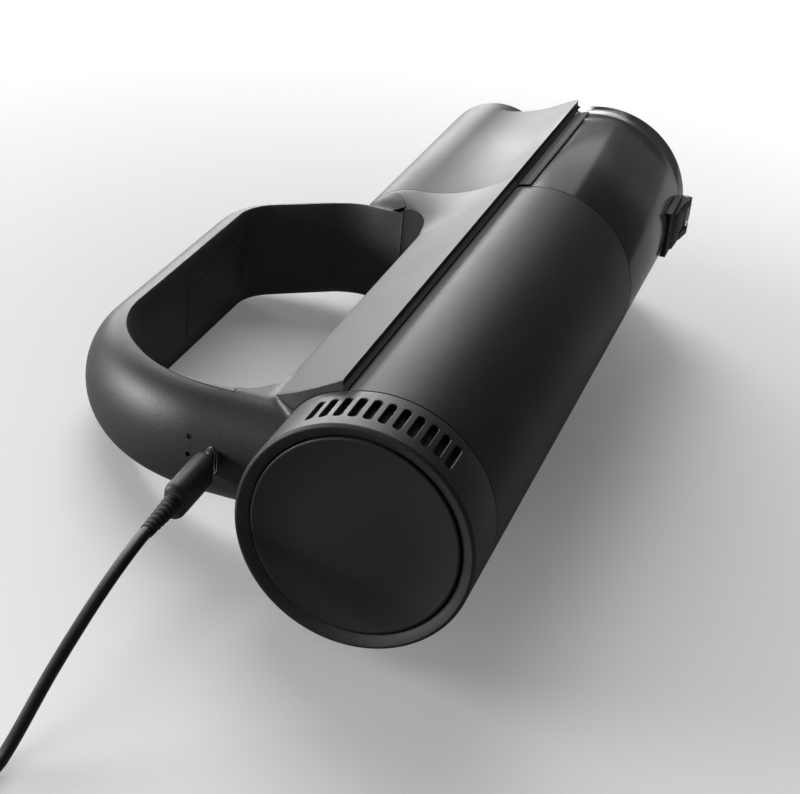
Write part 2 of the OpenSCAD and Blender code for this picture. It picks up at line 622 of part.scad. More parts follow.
module motor_spider() lay() color([0.12, 0.12, 0.13]) difference() {
    rod_x(holder_r, spider_x, spider_x + spider_len);
    rod_x(motor_r + 0.15, can_x0, can_x1);
    for (k = [0 : 5]) rotate([60 * k, 0, 0]) translate([0, 0, (motor_r + holder_r) / 2])
        rod_x((holder_r - motor_r) / 2 - 1.5, can_x0, can_x1);
}

// ---- filter in front of the motor
filter_len = room_len * 22 / 93;
filter_x0 = x_cup - filter_len;
filter_r = in_r - 0.4;
pleat_count = 24;
pleat_in = 16;
media_r = filter_r - 2.2;
module filter_frame() lay() color([0.14, 0.14, 0.15]) difference() {
    union() {
        tube_x(filter_r, filter_r - 1.8, filter_x0, x_cup - 1.6);
        difference() {
            rod_x(filter_r, x_cup - 3.6, x_cup - 1.6);
            rod_x(pleat_in - 2, x_cup - 5, x_cup);
        }
        rod_x(pleat_in - 0.5, filter_x0, filter_x0 + 1.6);
        for (k = [0 : 2]) rotate([60 * k, 0, 0])
            box(filter_x0, filter_x0 + 1.6, -filter_r + 1, filter_r - 1, -1.2, 1.2);
    }
}
module filter_media() lay() color([0.93, 0.93, 0.9]) along(filter_x0 + 1.8, x_cup - 3.8) difference() {
    polygon([for (k = [0 : 2 * pleat_count - 1]) let(a = 180 * k / pleat_count)
        (k % 2 == 0 ? media_r : pleat_in + 3.4) * [cos(a), sin(a)]]);
    circle(pleat_in);
}
module filter_seal() lay() color(rubber_black) tube_x(filter_r, pleat_in + 4, x_cup - 1.5, x_cup - 0.1);

// ---- screws that hold the saddle to the barrel
screw_r = 1.4;
screw_y = 9;
screw_spots = [for (x = [holder_x0 + 14, filter_x0 - 5.5], s = [-1, 1]) [x, s * screw_y]];
screw_top = saddle_h - 1.4;
screw_seat = sqrt(in_r * in_r - pow(screw_y + screw_r * 2, 2)) - 0.1;
module handle_screws() lay() color(steel) for (p = screw_spots) translate([p.x, p.y, 0]) {
    translate([0, 0, screw_seat - 2]) cylinder(r = screw_r * 2, h = 2, $fn = 32);
    translate([0, 0, screw_seat - 1]) cylinder(r = screw_r, h = screw_top - screw_seat + 1, $fn = 32);
}

// ---- dust cup, cyclone and lid
cup_in = body_r - cup_wall;
inlet_x0 = x_seam + 5;
inlet_len = 16;
inlet_w = 16;
module inlet_way(z0, z1) box(inlet_x0, inlet_x0 + inlet_len, -inlet_w / 2, inlet_w / 2, z0, z1);
module dust_cup() lay() color(smoke) difference() {
    tube_x(body_r, cup_in, x_cup + groove / 2, x_lid - groove / 2);
    inlet_way(0, body_r + 5);
}
rail_t = 0.65;
rail_r = body_r + 0.05;
rail_half = body_r * sin(rail_span / 2);
rail_mid = acos((flange_h - lip - groove) / (rail_r + rail_t)) + rail_span / 2;
module cup_rails() lay() color([0.2, 0.2, 0.21]) for (s = [-1, 1]) intersection() {
    tube_x(rail_r + rail_t, rail_r, x_cup + groove / 2, x_lid - groove / 2);
    rotate([-s * rail_mid, 0, 0]) box(x_cup, x_lid, -rail_half, rail_half, body_r / 2, body_d);
}
cage_r = cage_d / 2;
cage_x0 = x_cup + 3.6;
cage_len = 40;
cage_x1 = cage_x0 + cage_len;
outlet_r = outlet_d / 2;
cone_x1 = x_lid - 3;
cage_t = 1.4;
window_half = cage_r * sin(180 / window_count) - 1.1;
module cyclone_cage() lay() color([0.12, 0.12, 0.13]) difference() {
    union() {
        tube_x(cup_in - fit, pleat_in - 2, x_cup + groove, cage_x0);
        tube_x(cage_r, cage_r - cage_t, cage_x0 - 0.1, cage_x1);
        turned([[cage_x1 - 0.1, cage_r], [cage_x1 + 2, cage_r + 2.4], [cage_x1 + 3, cage_r + 2.4],
            [cage_x1 + 4, cage_r - 1], [cone_x1 - 8, outlet_r], [cone_x1, outlet_r],
            [cone_x1, outlet_r - 1.2], [cone_x1 - 8, outlet_r - 1.2], [cage_x1 + 4, cage_r - 3.4],
            [cage_x1 - 0.1, cage_r - 3.4]]);
    }
    for (k = [0 : window_count - 1]) rotate([360 / window_count * (k + 0.5), 0, 0])
        box(cage_x0 + 5, cage_x1 - 4, -window_half, window_half, cage_r / 2, cage_r + 2);
}
module mesh_sleeve() lay() color([0.6, 0.6, 0.62])
    tube_x(cage_r - cage_t - 0.1, cage_r - cage_t - 0.5, cage_x0 + 0.1, cage_x1 - 0.3);
module cone_seal() lay() color(rubber_black)
    tube_x(outlet_r + 1.4, outlet_r + 0.05, cone_x1 - 4, cone_x1 - 0.5);

lid_boss_r = outlet_r + 1.4;
plug_len = 4;
module cup_lid() lay() color(smoke) {
    turned([[x_front, 0], [x_front, body_r - 1.6], [x_front - 1.6, body_r], [x_lid + groove / 2, body_r],
        [x_lid + groove / 2, cup_in - 0.5], [x_lid - plug_len, cup_in - 0.5],
        [x_lid - plug_len, cup_in - 3.4], [x_front - lid_wall, cup_in - 3.4],
        [x_front - lid_wall, lid_boss_r], [cone_x1 + 0.3, lid_boss_r], [cone_x1 + 0.3, outlet_r - 1.2],
        [x_front - lid_wall, outlet_r - 1.2], [x_front - lid_wall, 0]]);
    difference() {
        union() {
            across_hinge(knuckle_r, knuckle_w);
            box(x_lid + groove, x_front - 1, -knuckle_w / 2, knuckle_w / 2, hinge_h - 1, -body_r + 0.8);
        }
        across_hinge(pin_r + 0.05, knuckle_w * 2);
        rod_x(body_r - 0.4, x_lid - 5, x_front + 5);
    }
}
module lid_seal() lay() color(rubber_black)
    tube_x(cup_in - 0.15, cup_in - 0.45, x_lid - plug_len + 0.8, x_lid - plug_len + 2.4);

bracket_len = 23;
bracket_x1 = hinge_x - knuckle_r - 1;
bracket_x0 = bracket_x1 - bracket_len;
bracket_side = 1.6;                    // the foot plate is wider than the ears by this much
plate_h = -body_r - 1.4;
module across_hinge(r, w) translate([hinge_x, 0, hinge_h]) rotate([90, 0, 0])
    cylinder(r = r, h = w, center = true, $fn = 48);
module hinge_bracket() lay() color(dark_plastic) difference() {
    union() {
        // foot plate, sloped block and ears
        box(bracket_x0, bracket_x1, -ear_y - bracket_side, ear_y + bracket_side, plate_h, -body_r + 4);
        across([[bracket_x0 + 3, plate_h + 1], [bracket_x0 + 6, hinge_h], [bracket_x1, hinge_h - 0.8],
            [bracket_x1, plate_h + 1]], 2 * ear_y);
        for (s = [-1, 1]) translate([0, s * (ear_y - ear_w / 2), 0]) {
            across_hinge(knuckle_r, ear_w);
            across([[bracket_x1 - 6, -body_r - 1], [bracket_x1 - 6, hinge_h - 0.8],
                [hinge_x, hinge_h - knuckle_r], [hinge_x, hinge_h + 0.8], [bracket_x1, -body_r - 1]], ear_w);
        }
    }
    rod_x(body_r + 0.15, x_cup, x_front);
    across_hinge(pin_r + 0.02, 4 * ear_y);
}
module hinge_pin() lay() color(steel) across_hinge(pin_r, 2 * ear_y + 0.6);

// ---- suction pipe over the cup
socket_r = socket_d / 2;
duct_r = socket_r - 1.6;
nose_x = x_pipe - collar_len;
nose_r = 9;                            // rounding of the flanks' front corner
nose_steps = 8;
lid_gap = 0.8;
module suction_pipe() lay() color(black_plastic) difference() {
    union() {
        intersection() {
            along(x_seam + groove / 2, nose_x) polygon(section(concat(
                [for (i = [0 : blend_steps]) pipe_half()[i]], [[pipe_r * 0.7, pipe_h + pipe_r * 0.5]])));
            across(concat([[x_cup - 5, 0], [nose_x - nose_r, 0]],
                [for (k = [0 : nose_steps]) let(a = 90 * k / nose_steps)
                    [nose_x - nose_r + nose_r * sin(a), flange_h + nose_r - nose_r * cos(a)]],
                [[nose_x, pipe_h * 2], [x_cup - 5, pipe_h * 2]]), body_d * 1.5);
        }
        translate([0, 0, pipe_h]) rod_x(pipe_r, x_seam + groove / 2, x_pipe);
    }
    rod_x(body_r + fit, x_cup, x_lid);
    rod_x(body_r + lid_gap, x_lid - 2, x_pipe + 5);
    translate([0, 0, socket_h]) {
        rod_x(socket_r, x_pipe - socket_len, x_pipe + 5);
        rod_x(duct_r, inlet_x0 + inlet_len / 2, x_pipe);
    }
    inlet_way(body_r - 2, socket_h);
}

// ---- charging lead: plug, boot, lead, coil of spare lead, charger plug
plug_shell_w = 8.34;
plug_shell_t = 2.56;
plug_shell_out = 4.6;
plug_grip_len = 22;
plug_boot_len = 16;
plug_x = port_x + plug_in;
grip_x = plug_x - plug_in - plug_shell_out;
boot_x = grip_x - plug_grip_len;
lead_x = boot_x - plug_boot_len;
module at_port() lay() translate([0, 0, port_h]) children();
module usb_plug_shell() at_port() color(steel) difference() {
    along(grip_x - 0.02, plug_x) stadium(plug_shell_w, plug_shell_t);
    along(plug_x - 4, plug_x + 1) stadium(plug_shell_w - 0.7, plug_shell_t - 0.7);
}
module plug_grip() at_port() color(dark_plastic) {
    along(boot_x + 1.5, grip_x - 0.05) stadium(11.6, 6.4);
    along(boot_x, boot_x + 1.5) stadium(9.6, 5.4);
}
module plug_boot() at_port() color(rubber_black) turned([[boot_x - 0.05, 0], [boot_x - 0.05, 3],
    [boot_x - 5, 3], [boot_x - 5.6, 2.6], [boot_x - 10, 2.6], [boot_x - 10.6, 2.2], [lead_x + 0.6, 2.1],
    [lead_x, 1.9], [lead_x, 0]]);

lead_r = lead_d / 2;
coil_r = coil_d / 2;
coil_centre = [-148, 47];
lead_turn = coil_r + lead_d * 2 + 0.3;
port_y = port_h * cos(tilt);
port_z = rest_h - port_h * sin(tilt);
// x from the rear rim, y from the barrel axis, z from the floor
lead_route = concat([[lead_x - 0.05, port_y, port_z], [lead_x - 3, port_y, port_z], [-31, 50.4, 26.6],
    [-37, 50.4, 25.2], [-43, 50.4, 23.4],
    [-50, 50.4, 20.8], [-57, 50.3, 18], [-64, 50.2, 14.8], [-71, 50, 11.4], [-78, 49.6, 8], [-84, 49.2, 5.2],
    [-90, 48.8, 2.9], [-95, 48.6, 1.9], [-100, 49.2, 1.8], [-106, 50.6, 1.8], [-112, 53, 1.8],
    [-118, 56.6, 1.8]],
    [for (a = [36 : 13 : 75]) [coil_centre.x + lead_turn * cos(a), coil_centre.y + lead_turn * sin(a), 1.8]]);
module tube_along(route, r, sides) {
    m = len(route);
    skin([for (k = [0 : m - 1]) let(d = unit(route[min(k + 1, m - 1)] - route[max(k - 1, 0)]),
        s = unit(cross(d, [0, 0, 1])), u = cross(s, d))
        [for (i = [0 : sides - 1]) let(a = 360 * (i + 0.5) / sides)
            route[k] + r * (cos(a) * s + sin(a) * u)]]);
}
module lead() on_floor() color(rubber_black) tube_along(lead_route, lead_r, 8);
coil_top = lead_d * (1 + sqrt(3));      // three layers of lead
module lead_coil() on_floor() color(rubber_black) translate([coil_centre.x, coil_centre.y, 0])
    rotate_extrude() polygon([[coil_r - lead_d * 1.5, 0], [coil_r + lead_d * 1.5, 0],
        [coil_r + lead_d * 1.5, lead_d], [coil_r + lead_d / 2, coil_top],
        [coil_r - lead_d / 2, coil_top], [coil_r - lead_d * 1.5, lead_d]]);
charger_w = 15;
charger_t = 7.6;
charger_len = 24;
charger_y = coil_centre.y - coil_r - lead_d * 1.5 - charger_w / 2 - 0.2;
module at_charger() on_floor() translate([coil_centre.x - charger_len / 2, charger_y, charger_t / 2])
    children();
module charger_plug_grip() at_charger() color(dark_plastic)
    along(0, charger_len) stadium(charger_w, charger_t);
module charger_plug_shell() at_charger() color(steel) difference() {
    along(charger_len + 0.02, charger_len + 12) square([12, 4.5], center = true);
    along(charger_len + 3, charger_len + 13) translate([0, 0.9]) square([11.2, 2], center = true);
}

barrel_shell();
rear_cap();
rear_disc();
exhaust_foam();
handle_shell();
handle_liner();
handle_screws();
grip_trigger();
trigger_spring();
trigger_switch();
release_button_left();
release_button_right();
release_spring_left();
release_spring_right();
usb_socket();
charge_board();
charge_lights();
battery_holder_rear();
battery_holder_front();
battery_cell_1();
battery_cell_2();
battery_cell_3();
control_board();
board_screws();
motor_can();
stator_core();
bearing_rear();
bearing_front();
rotor();
fan_wheel();
diffuser();
fan_shroud();
motor_ring();
motor_spider();
filter_frame();
filter_media();
filter_seal();
dust_cup();
cup_rails();
suction_pipe();
cyclone_cage();
mesh_sleeve();
cone_seal();
hinge_bracket();
hinge_pin();
cup_lid();
lid_seal();
usb_plug_shell();
plug_grip();
plug_boot();
lead();
lead_coil();
charger_plug_grip();
charger_plug_shell();
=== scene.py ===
"""Looks of a handheld vacuum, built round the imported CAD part.

The vacuum lies on its side on a pale floor. Its own axes run along the barrel (from the rear rim), sideways
across it and from the barrel towards the handle; sizes below are millimetres on those axes, and class Lie
turns them into metres in the row frame.
"""

import json
import logging
import math
from dataclasses import dataclass, field
from enum import Enum
from typing import Sequence

import bpy
import numpy as np
from mathutils import Matrix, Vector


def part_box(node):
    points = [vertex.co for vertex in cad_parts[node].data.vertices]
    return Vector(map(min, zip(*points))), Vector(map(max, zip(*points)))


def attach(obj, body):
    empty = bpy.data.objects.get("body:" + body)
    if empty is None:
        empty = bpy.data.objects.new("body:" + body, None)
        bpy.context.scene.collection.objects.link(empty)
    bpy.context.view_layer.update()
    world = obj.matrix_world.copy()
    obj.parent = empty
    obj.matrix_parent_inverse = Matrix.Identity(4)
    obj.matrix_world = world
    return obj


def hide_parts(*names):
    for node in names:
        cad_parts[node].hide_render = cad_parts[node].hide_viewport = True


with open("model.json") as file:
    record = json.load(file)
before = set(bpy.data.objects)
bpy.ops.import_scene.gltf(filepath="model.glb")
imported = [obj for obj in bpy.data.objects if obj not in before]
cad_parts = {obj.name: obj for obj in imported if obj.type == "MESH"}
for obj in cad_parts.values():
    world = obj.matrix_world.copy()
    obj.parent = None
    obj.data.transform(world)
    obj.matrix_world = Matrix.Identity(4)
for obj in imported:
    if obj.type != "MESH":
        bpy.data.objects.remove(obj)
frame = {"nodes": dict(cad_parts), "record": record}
LOG = logging.getLogger("vacuum")
MM = 0.001
CREASE = math.radians(32)
WIDE_CREASE = math.radians(50)
ROUND = 288  # segments of the large round shells
FINE = 192  # segments of the round cutters for them
REACH = 60  # half width of a cutter that goes right through the vacuum
FAR = 330  # a place along the barrel's axis beyond the front end
Rgb = tuple[float, float, float]  # red, green and blue
Point = tuple[float, float, float]  # three lengths, or three places on the axes


# ------------------------------------------------------------------------------------------------ placing


@dataclass(frozen=True)
class Lie:
    """The vacuum's own axes in the row frame.

    Fields: start is the middle of the rear rim; along, side and toward are unit vectors along the barrel,
    across it and towards the handle.
    """

    start: np.ndarray
    along: np.ndarray
    side: np.ndarray
    toward: np.ndarray

    @classmethod
    def from_frame(cls) -> "Lie":
        """Reads the axes from the trigger's direction of travel and the barrel's box.

        Returns:
            The axes.
        """
        joints = {j["name"]: j for j in frame["record"]["behaviour"]["joints"]}
        toward = np.array(joints["trigger_press"]["axis"], float)
        toward /= np.linalg.norm(toward)
        along = np.array([1.0, 0.0, 0.0])
        low, high = (np.array(corner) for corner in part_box("barrel_shell"))
        start = (low + high) / 2
        start[0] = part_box("rear_cap")[0][0]
        return cls(start, along, np.cross(toward, along), toward)

    def place(self, points: np.ndarray) -> np.ndarray:
        """Turns millimetres on the vacuum's axes into metres in the row frame.

        Args:
            points: array of shape (..., 3): along, side, toward.

        Returns:
            An array of the same shape.
        """
        p = np.asarray(points, float) * MM
        return self.start + p[..., :1] * self.along + p[..., 1:2] * self.side + p[..., 2:3] * self.toward

    def on_floor(self, points: np.ndarray) -> np.ndarray:
        """Turns millimetres along from the rim, across from the axis and up from the floor into metres."""
        p = np.asarray(points, float) * MM
        return p + np.array([self.start[0], self.start[1], 0.0])


LIE = Lie.from_frame()


# ------------------------------------------------------------------------------------------------- meshes


def linked(name: str, data: bpy.types.ID) -> bpy.types.Object:
    """Makes an object at the origin for a mesh, a camera or a light, and links it to the scene.

    Args:
        name: its name.
        data: the mesh, camera or light.

    Returns:
        The object.
    """
    piece = bpy.data.objects.new(name, data)
    bpy.context.scene.collection.objects.link(piece)
    return piece


def mesh_piece(name: str, points: np.ndarray, faces: Sequence[Sequence[int]]) -> bpy.types.Object:
    """Makes an object at the origin from vertex places and faces.

    Args:
        name: name of the piece.
        points: array (n, 3).
        faces: vertex numbers of each face.

    Returns:
        The new object, linked to the scene.
    """
    mesh = bpy.data.meshes.new(name)
    mesh.from_pydata(np.asarray(points, float).reshape(-1, 3).tolist(), [], [list(f) for f in faces])
    mesh.update()
    return linked(name, mesh)


def vertices(piece: bpy.types.Object) -> np.ndarray:
    """The places of a piece's vertices, shape (n, 3).

    Args:
        piece: the piece.

    Returns:
        An array (n, 3).
    """
    points = np.empty(len(piece.data.vertices) * 3)
    piece.data.vertices.foreach_get("co", points)
    return points.reshape(-1, 3)


def move_vertices(piece: bpy.types.Object, points: np.ndarray) -> None:
    """Gives a piece's vertices new places."""
    piece.data.vertices.foreach_set("co", points.ravel())


def grid_faces(rows: int, columns: int, wrap_rows: bool = False) -> list[list[int]]:
    """Quads of a grid whose columns always wrap round, and whose rows wrap if asked.

    Args:
        rows: how many rows of points the grid has.
        columns: how many points a row has.
        wrap_rows: whether the last row joins the first.

    Returns:
        The point numbers of each quad.
    """
    row = np.arange(rows if wrap_rows else rows - 1)[:, None]
    column = np.arange(columns)[None, :]
    ahead, right = (row + 1) % rows, (column + 1) % columns
    quads = np.stack([row * columns + column, row * columns + right,
                      ahead * columns + right, ahead * columns + column], -1)
    return quads.reshape(-1, 4).tolist()


def skin(name: str, rings: np.ndarray) -> bpy.types.Object:
    """A closed skin through rings of points, shape (rings, points, 3), with a flat cap on each end ring.

    Args:
        name: name of the piece.
        rings: the points of each ring.

    Returns:
        The piece.
    """
    rows, columns = rings.shape[:2]
    faces = grid_faces(rows, columns)
    faces.append(list(range(columns))[::-1])
    faces.append([(rows - 1) * columns + i for i in range(columns)])
    piece = mesh_piece(name, rings, faces)
    face_out(piece)
    return piece


def revolved(name: str, profile: np.ndarray, segments: int = ROUND) -> bpy.types.Object:
    """Turns a closed outline of [along, radius] points round the barrel's axis.

    The surface is P(i, a) = (x_i, r_i sin a, r_i cos a), with a going once round; the outline closes on
    itself, so the piece is a closed ring.

    Args:
        name: name of the piece.
        profile: the outline's points.
        segments: how many points go round.

    Returns:
        The piece, on the vacuum's axes in millimetres.
    """
    turn = np.linspace(0, 2 * np.pi, segments, endpoint=False)
    x, r = np.asarray(profile, float).T
    grid = np.stack([np.broadcast_to(x[:, None], (len(x), segments)), r[:, None] * np.sin(turn),
                     r[:, None] * np.cos(turn)], -1)
    piece = mesh_piece(name, grid, grid_faces(len(x), segments, wrap_rows=True))
    merge(piece)
    face_out(piece)
    return piece


def prism(name: str, outline: np.ndarray, axis: int, low: float, high: float) -> bpy.types.Object:
    """Pushes a flat outline along one of the vacuum's axes.

    Args:
        name: name of the piece.
        outline: [u, v] points; (along, toward) for axis 1 and (side, toward) for axis 0.
        axis: 0 along the barrel or 1 across it.
        low: where the prism starts on that axis.
        high: where it ends.

    Returns:
        The prism, on the vacuum's axes in millimetres.
    """
    flat = np.asarray(outline, float)
    columns = [c for c in range(3) if c != axis]
    rings = np.zeros((2, len(flat), 3))
    rings[:, :, columns] = flat
    rings[0, :, axis], rings[1, :, axis] = low, high
    return skin(name, rings)


def evaluated(piece: bpy.types.Object) -> None:
    """Applies the modifiers of a piece to its mesh.

    Args:
        piece: the piece.
    """
    graph = bpy.context.evaluated_depsgraph_get()
    mesh = bpy.data.meshes.new_from_object(piece.evaluated_get(graph))
    old = piece.data
    piece.modifiers.clear()
    piece.data = mesh
    bpy.data.meshes.remove(old)


def merge(piece: bpy.types.Object, distance: float = 1e-5) -> None:
    """Joins the vertices of a piece that lie on each other.

    Args:
        piece: the piece.
        distance: how far apart they may lie, in the piece's own units.
    """
    weld = piece.modifiers.new("weld", "WELD")
    weld.merge_threshold = distance
    evaluated(piece)


def face_out(piece: bpy.types.Object) -> None:
    """Turns all faces of a closed piece outwards, by the sign of its volume.

    Args:
        piece: the piece.
    """
    mesh = piece.data
    mesh.calc_loop_triangles()
    corners = np.empty(len(mesh.loop_triangles) * 3, int)
    mesh.loop_triangles.foreach_get("vertices", corners)
    a, b, c = np.moveaxis(vertices(piece)[corners.reshape(-1, 3)], 1, 0)
    if np.einsum("ij,ij->i", a, np.cross(b, c)).sum() < 0:
        mesh.flip_normals()


def combine(piece: bpy.types.Object, others: Sequence[bpy.types.Object], operation: str) -> bpy.types.Object:
    """Adds or cuts other closed pieces to or from a piece, and removes them.

    Args:
        piece: the piece that is kept.
        others: pieces on the same axes.
        operation: UNION, DIFFERENCE or INTERSECT.

    Returns:
        The piece.
    """
    for other in others:
        step = piece.modifiers.new(operation.lower(), "BOOLEAN")
        step.operation = operation
        step.solver = "MANIFOLD"
        step.object = other
        evaluated(piece)
        bpy.data.objects.remove(other)
    return piece


def settle(piece: bpy.types.Object, crease: float = CREASE) -> bpy.types.Object:
    """Moves a piece from the vacuum's axes into the row frame and shades it smooth up to a crease angle.

    Args:
        piece: the piece, in millimetres.
        crease: the crease angle in radians.

    Returns:
        The piece.
    """
    move_vertices(piece, LIE.place(vertices(piece)))
    smooth(piece, crease)
    return piece


def smooth(piece: bpy.types.Object, crease: float = CREASE) -> None:
    """Shades a piece smooth, with sharp edges where faces meet at more than the crease angle.

    Args:
        piece: the piece.
        crease: the crease angle in radians.
    """
    piece.data.shade_smooth()
    piece.data.set_sharp_from_angle(angle=crease)
    piece.data.update()


def arc(centre: Sequence[float], radius: float, start: float, end: float, steps: int) -> np.ndarray:
    """Points on a circle's arc, with angles in degrees from the first axis."""
    a = np.radians(np.linspace(start, end, steps + 1))
    return np.asarray(centre) + radius * np.stack([np.cos(a), np.sin(a)], -1)


def corner_arc(corners: np.ndarray, i: int, radius: float, steps: int) -> tuple[np.ndarray, np.ndarray]:
    """The arc that rounds one corner of an outline.

    Its centre lies on the corner's bisector at radius / sin(half the corner's angle).

    Args:
        corners: outline (n, 2).
        i: which corner.
        radius: the arc's radius.
        steps: how many chords it gets.

    Returns:
        The arc's points and the unit vectors from them to its centre.
    """
    p = corners[i]
    a, b = (unit(corners[(i + k) % len(corners)] - p) for k in (-1, 1))
    half = math.acos(np.clip(a @ b, -1, 1)) / 2
    centre = p + unit(a + b) * radius / math.sin(half)
    first = p + a * radius / math.tan(half) - centre
    last = p + b * radius / math.tan(half) - centre
    start = math.atan2(first[1], first[0])
    sweep = (math.atan2(last[1], last[0]) - start + 3 * math.pi) % (2 * math.pi) - math.pi
    angle = start + sweep * np.linspace(0, 1, steps + 1)
    inward = -np.stack([np.cos(angle), np.sin(angle)], -1)
    return centre - radius * inward, inward


def rounded(corners: np.ndarray, radii: Sequence[float], steps: int = 24) -> np.ndarray:
    """An outline with each corner rounded by its radius."""
    return np.concatenate([corner_arc(corners, i, r, steps)[0] for i, r in enumerate(radii)])


def moved(corners: np.ndarray, out: Sequence[float]) -> np.ndarray:
    """An outline whose edge i, from corner i to i + 1, is moved out by out[i].

    Each new corner solves n . p = n . corner + out for the two edges that meet there.

    Args:
        corners: outline (n, 2).
        out: a distance for each edge.

    Returns:
        The new corners, (n, 2).
    """
    edges = np.roll(corners, -1, 0) - corners
    normals = unit_rows(np.stack([-edges[:, 1], edges[:, 0]], -1))
    level = np.einsum("ij,ij->i", normals, corners) + np.asarray(out, float)
    return np.array([np.linalg.solve(np.stack([normals[i - 1], normals[i]]), [level[i - 1], level[i]])
                     for i in range(len(corners))])


def unit(v: np.ndarray) -> np.ndarray:
    """The vector at length one."""
    return v / np.linalg.norm(v)


def unit_rows(v: np.ndarray) -> np.ndarray:
    """Each row at length one."""
    return v / np.linalg.norm(v, axis=1)[:, None]


def bowed(first: Sequence[float], last: Sequence[float], height: float, steps: int = 24) -> np.ndarray:
    """An arc between two points that stands out from their chord by a height, on the chord's left.

    For a chord of length l the radius is (l^2 / 4 + h^2) / (2 h).

    Args:
        first: the arc's first point.
        last: its last point.
        height: how far it stands out in the middle.
        steps: how many chords it gets.

    Returns:
        The arc's points, (steps + 1, 2).
    """
    p, q = np.asarray(first, float), np.asarray(last, float)
    length = np.linalg.norm(q - p)
    radius = (length**2 / 4 + height**2) / (2 * height)
    ahead = (q - p) / length
    left = np.array([-ahead[1], ahead[0]])
    a = np.linspace(-1, 1, steps + 1)[:, None] * math.asin(length / 2 / radius)
    return (p + q) / 2 + left * (height - radius) + radius * (np.sin(a) * ahead + np.cos(a) * left)


def softened(profile: Sequence[Sequence[float]], radius: float, steps: int = 4) -> np.ndarray:
    """A closed outline with every corner rounded a little, so that its edges catch the light.

    The radius is cut where an edge is too short for it: each corner takes at most a share of the edge. A
    corner that is nearly straight stays as it is.

    Args:
        profile: the outline's corners.
        radius: the rounding where there is room.
        steps: how many chords each corner gets.

    Returns:
        The outline with its arcs.
    """
    share, straight, least = 0.3, 1.5, 1e-3
    p = np.asarray(profile, float)
    edges = np.linalg.norm(np.roll(p, -1, 0) - p, axis=1)
    room = np.minimum(edges, np.roll(edges, 1)) * share
    half = [math.acos(np.clip(unit(p[i - 1] - p[i]) @ unit(p[(i + 1) % len(p)] - p[i]), -1, 1)) / 2
            for i in range(len(p))]
    radii = [min(radius, room[i] * math.tan(h)) for i, h in enumerate(half)]
    return np.concatenate([corner_arc(p, i, r, steps)[0] if half[i] < straight and r > least else p[i:i + 1]
                           for i, r in enumerate(radii)])


def tube(name: str, path: np.ndarray, radius: float, sides: int = 20) -> bpy.types.Object:
    """A round tube along a path: each ring lies across the mean of the two steps that meet there.

    Ring i is path_i + r (cos t across_i + sin t up_i), with t going once round.

    Args:
        name: name of the piece.
        path: the middle line's points, (n, 3).
        radius: the tube's radius.
        sides: how many points go round.

    Returns:
        The tube, with flat ends.
    """
    ahead = unit_rows(np.gradient(path, axis=0))
    across = unit_rows(np.cross(ahead, [0.0, 0.0, 1.0]))
    up = np.cross(across, ahead)
    turn = np.linspace(0, 2 * np.pi, sides, endpoint=False)[None, :, None]
    return skin(name, path[:, None] + radius * (np.cos(turn) * across[:, None] + np.sin(turn) * up[:, None]))


def along_curve(points: np.ndarray, spacing: float = 1.0) -> np.ndarray:
    """A smooth curve through points, as points at even spacing.

    Between two points it is the cubic whose slopes are those of the chords across each point
    (Catmull-Rom), sampled finely and then spaced by its arc length.

    Args:
        points: the points that the curve passes, (n, 2) or (n, 3).
        spacing: the distance between the new points.

    Returns:
        The new points.
    """
    p = np.concatenate([[2 * points[0] - points[1]], points, [2 * points[-1] - points[-2]]])
    t = np.linspace(0, 1, 24, endpoint=False)[:, None]
    a, b, c, d = (p[k:len(p) - 3 + k][:, None] for k in range(4))
    fine = 0.5 * (2 * b + (c - a) * t + (2 * a - 5 * b + 4 * c - d) * t**2 + (3 * b - a - 3 * c + d) * t**3)
    fine = np.concatenate([fine.reshape(-1, points.shape[1]), points[-1:]])
    run = np.concatenate([[0], np.cumsum(np.linalg.norm(np.diff(fine, axis=0), axis=1))])
    even = np.linspace(0, run[-1], max(2, round(run[-1] / spacing)))
    return np.stack([np.interp(even, run, fine[:, k]) for k in range(points.shape[1])], -1)


def copied(node: str, bevel: float) -> bpy.types.Object:
    """A copy of a CAD node with joined corners, smooth curves and softened edges.

    Args:
        node: the CAD node that the copy stands for.
        bevel: width of the softened edges in millimetres.

    Returns:
        The copy, named after the node.
    """
    piece = frame["nodes"][node].copy()
    piece.data = piece.data.copy()
    piece.name = node + "_shown"
    piece.parent = None
    piece.matrix_world = Matrix.Identity(4)
    bpy.context.scene.collection.objects.link(piece)
    merge(piece, 2e-6)
    bevelled(piece, bevel * MM)
    smooth(piece)
    return piece


# ------------------------------------------------------------------------------------------------ shaders


class Sock:
    """A shader value that can be used in Python expressions; each operator adds a Math node."""

    def __init__(self, recipe: "Recipe", socket: bpy.types.NodeSocket) -> None:
        """Wraps an output socket of a recipe's node tree."""
        self.recipe = recipe
        self.socket = socket

    def _math(self, operation: str, *values: "Sock | float") -> "Sock":
        """Adds one Math node for an operation on these values."""
        return self.recipe.node("ShaderNodeMath", {"operation": operation}, dict(enumerate(values)))

    def __add__(self, other: "Sock | float") -> "Sock":
        """self + other."""
        return self._math("ADD", self, other)

    __radd__ = __add__

    def __mul__(self, other: "Sock | float") -> "Sock":
        """self * other."""
        return self._math("MULTIPLY", self, other)

    __rmul__ = __mul__

    def __sub__(self, other: "Sock | float") -> "Sock":
        """self - other."""
        return self._math("SUBTRACT", self, other)

    def __rsub__(self, other: "Sock | float") -> "Sock":
        """other - self."""
        return self._math("SUBTRACT", other, self)

    def clamped(self, low: float, high: float) -> "Sock":
        """The value brought from low..high to 0..1 and held there."""
        return self.recipe.node("ShaderNodeMapRange", {"clamp": True},
                                {"Value": self, "From Min": low, "From Max": high})


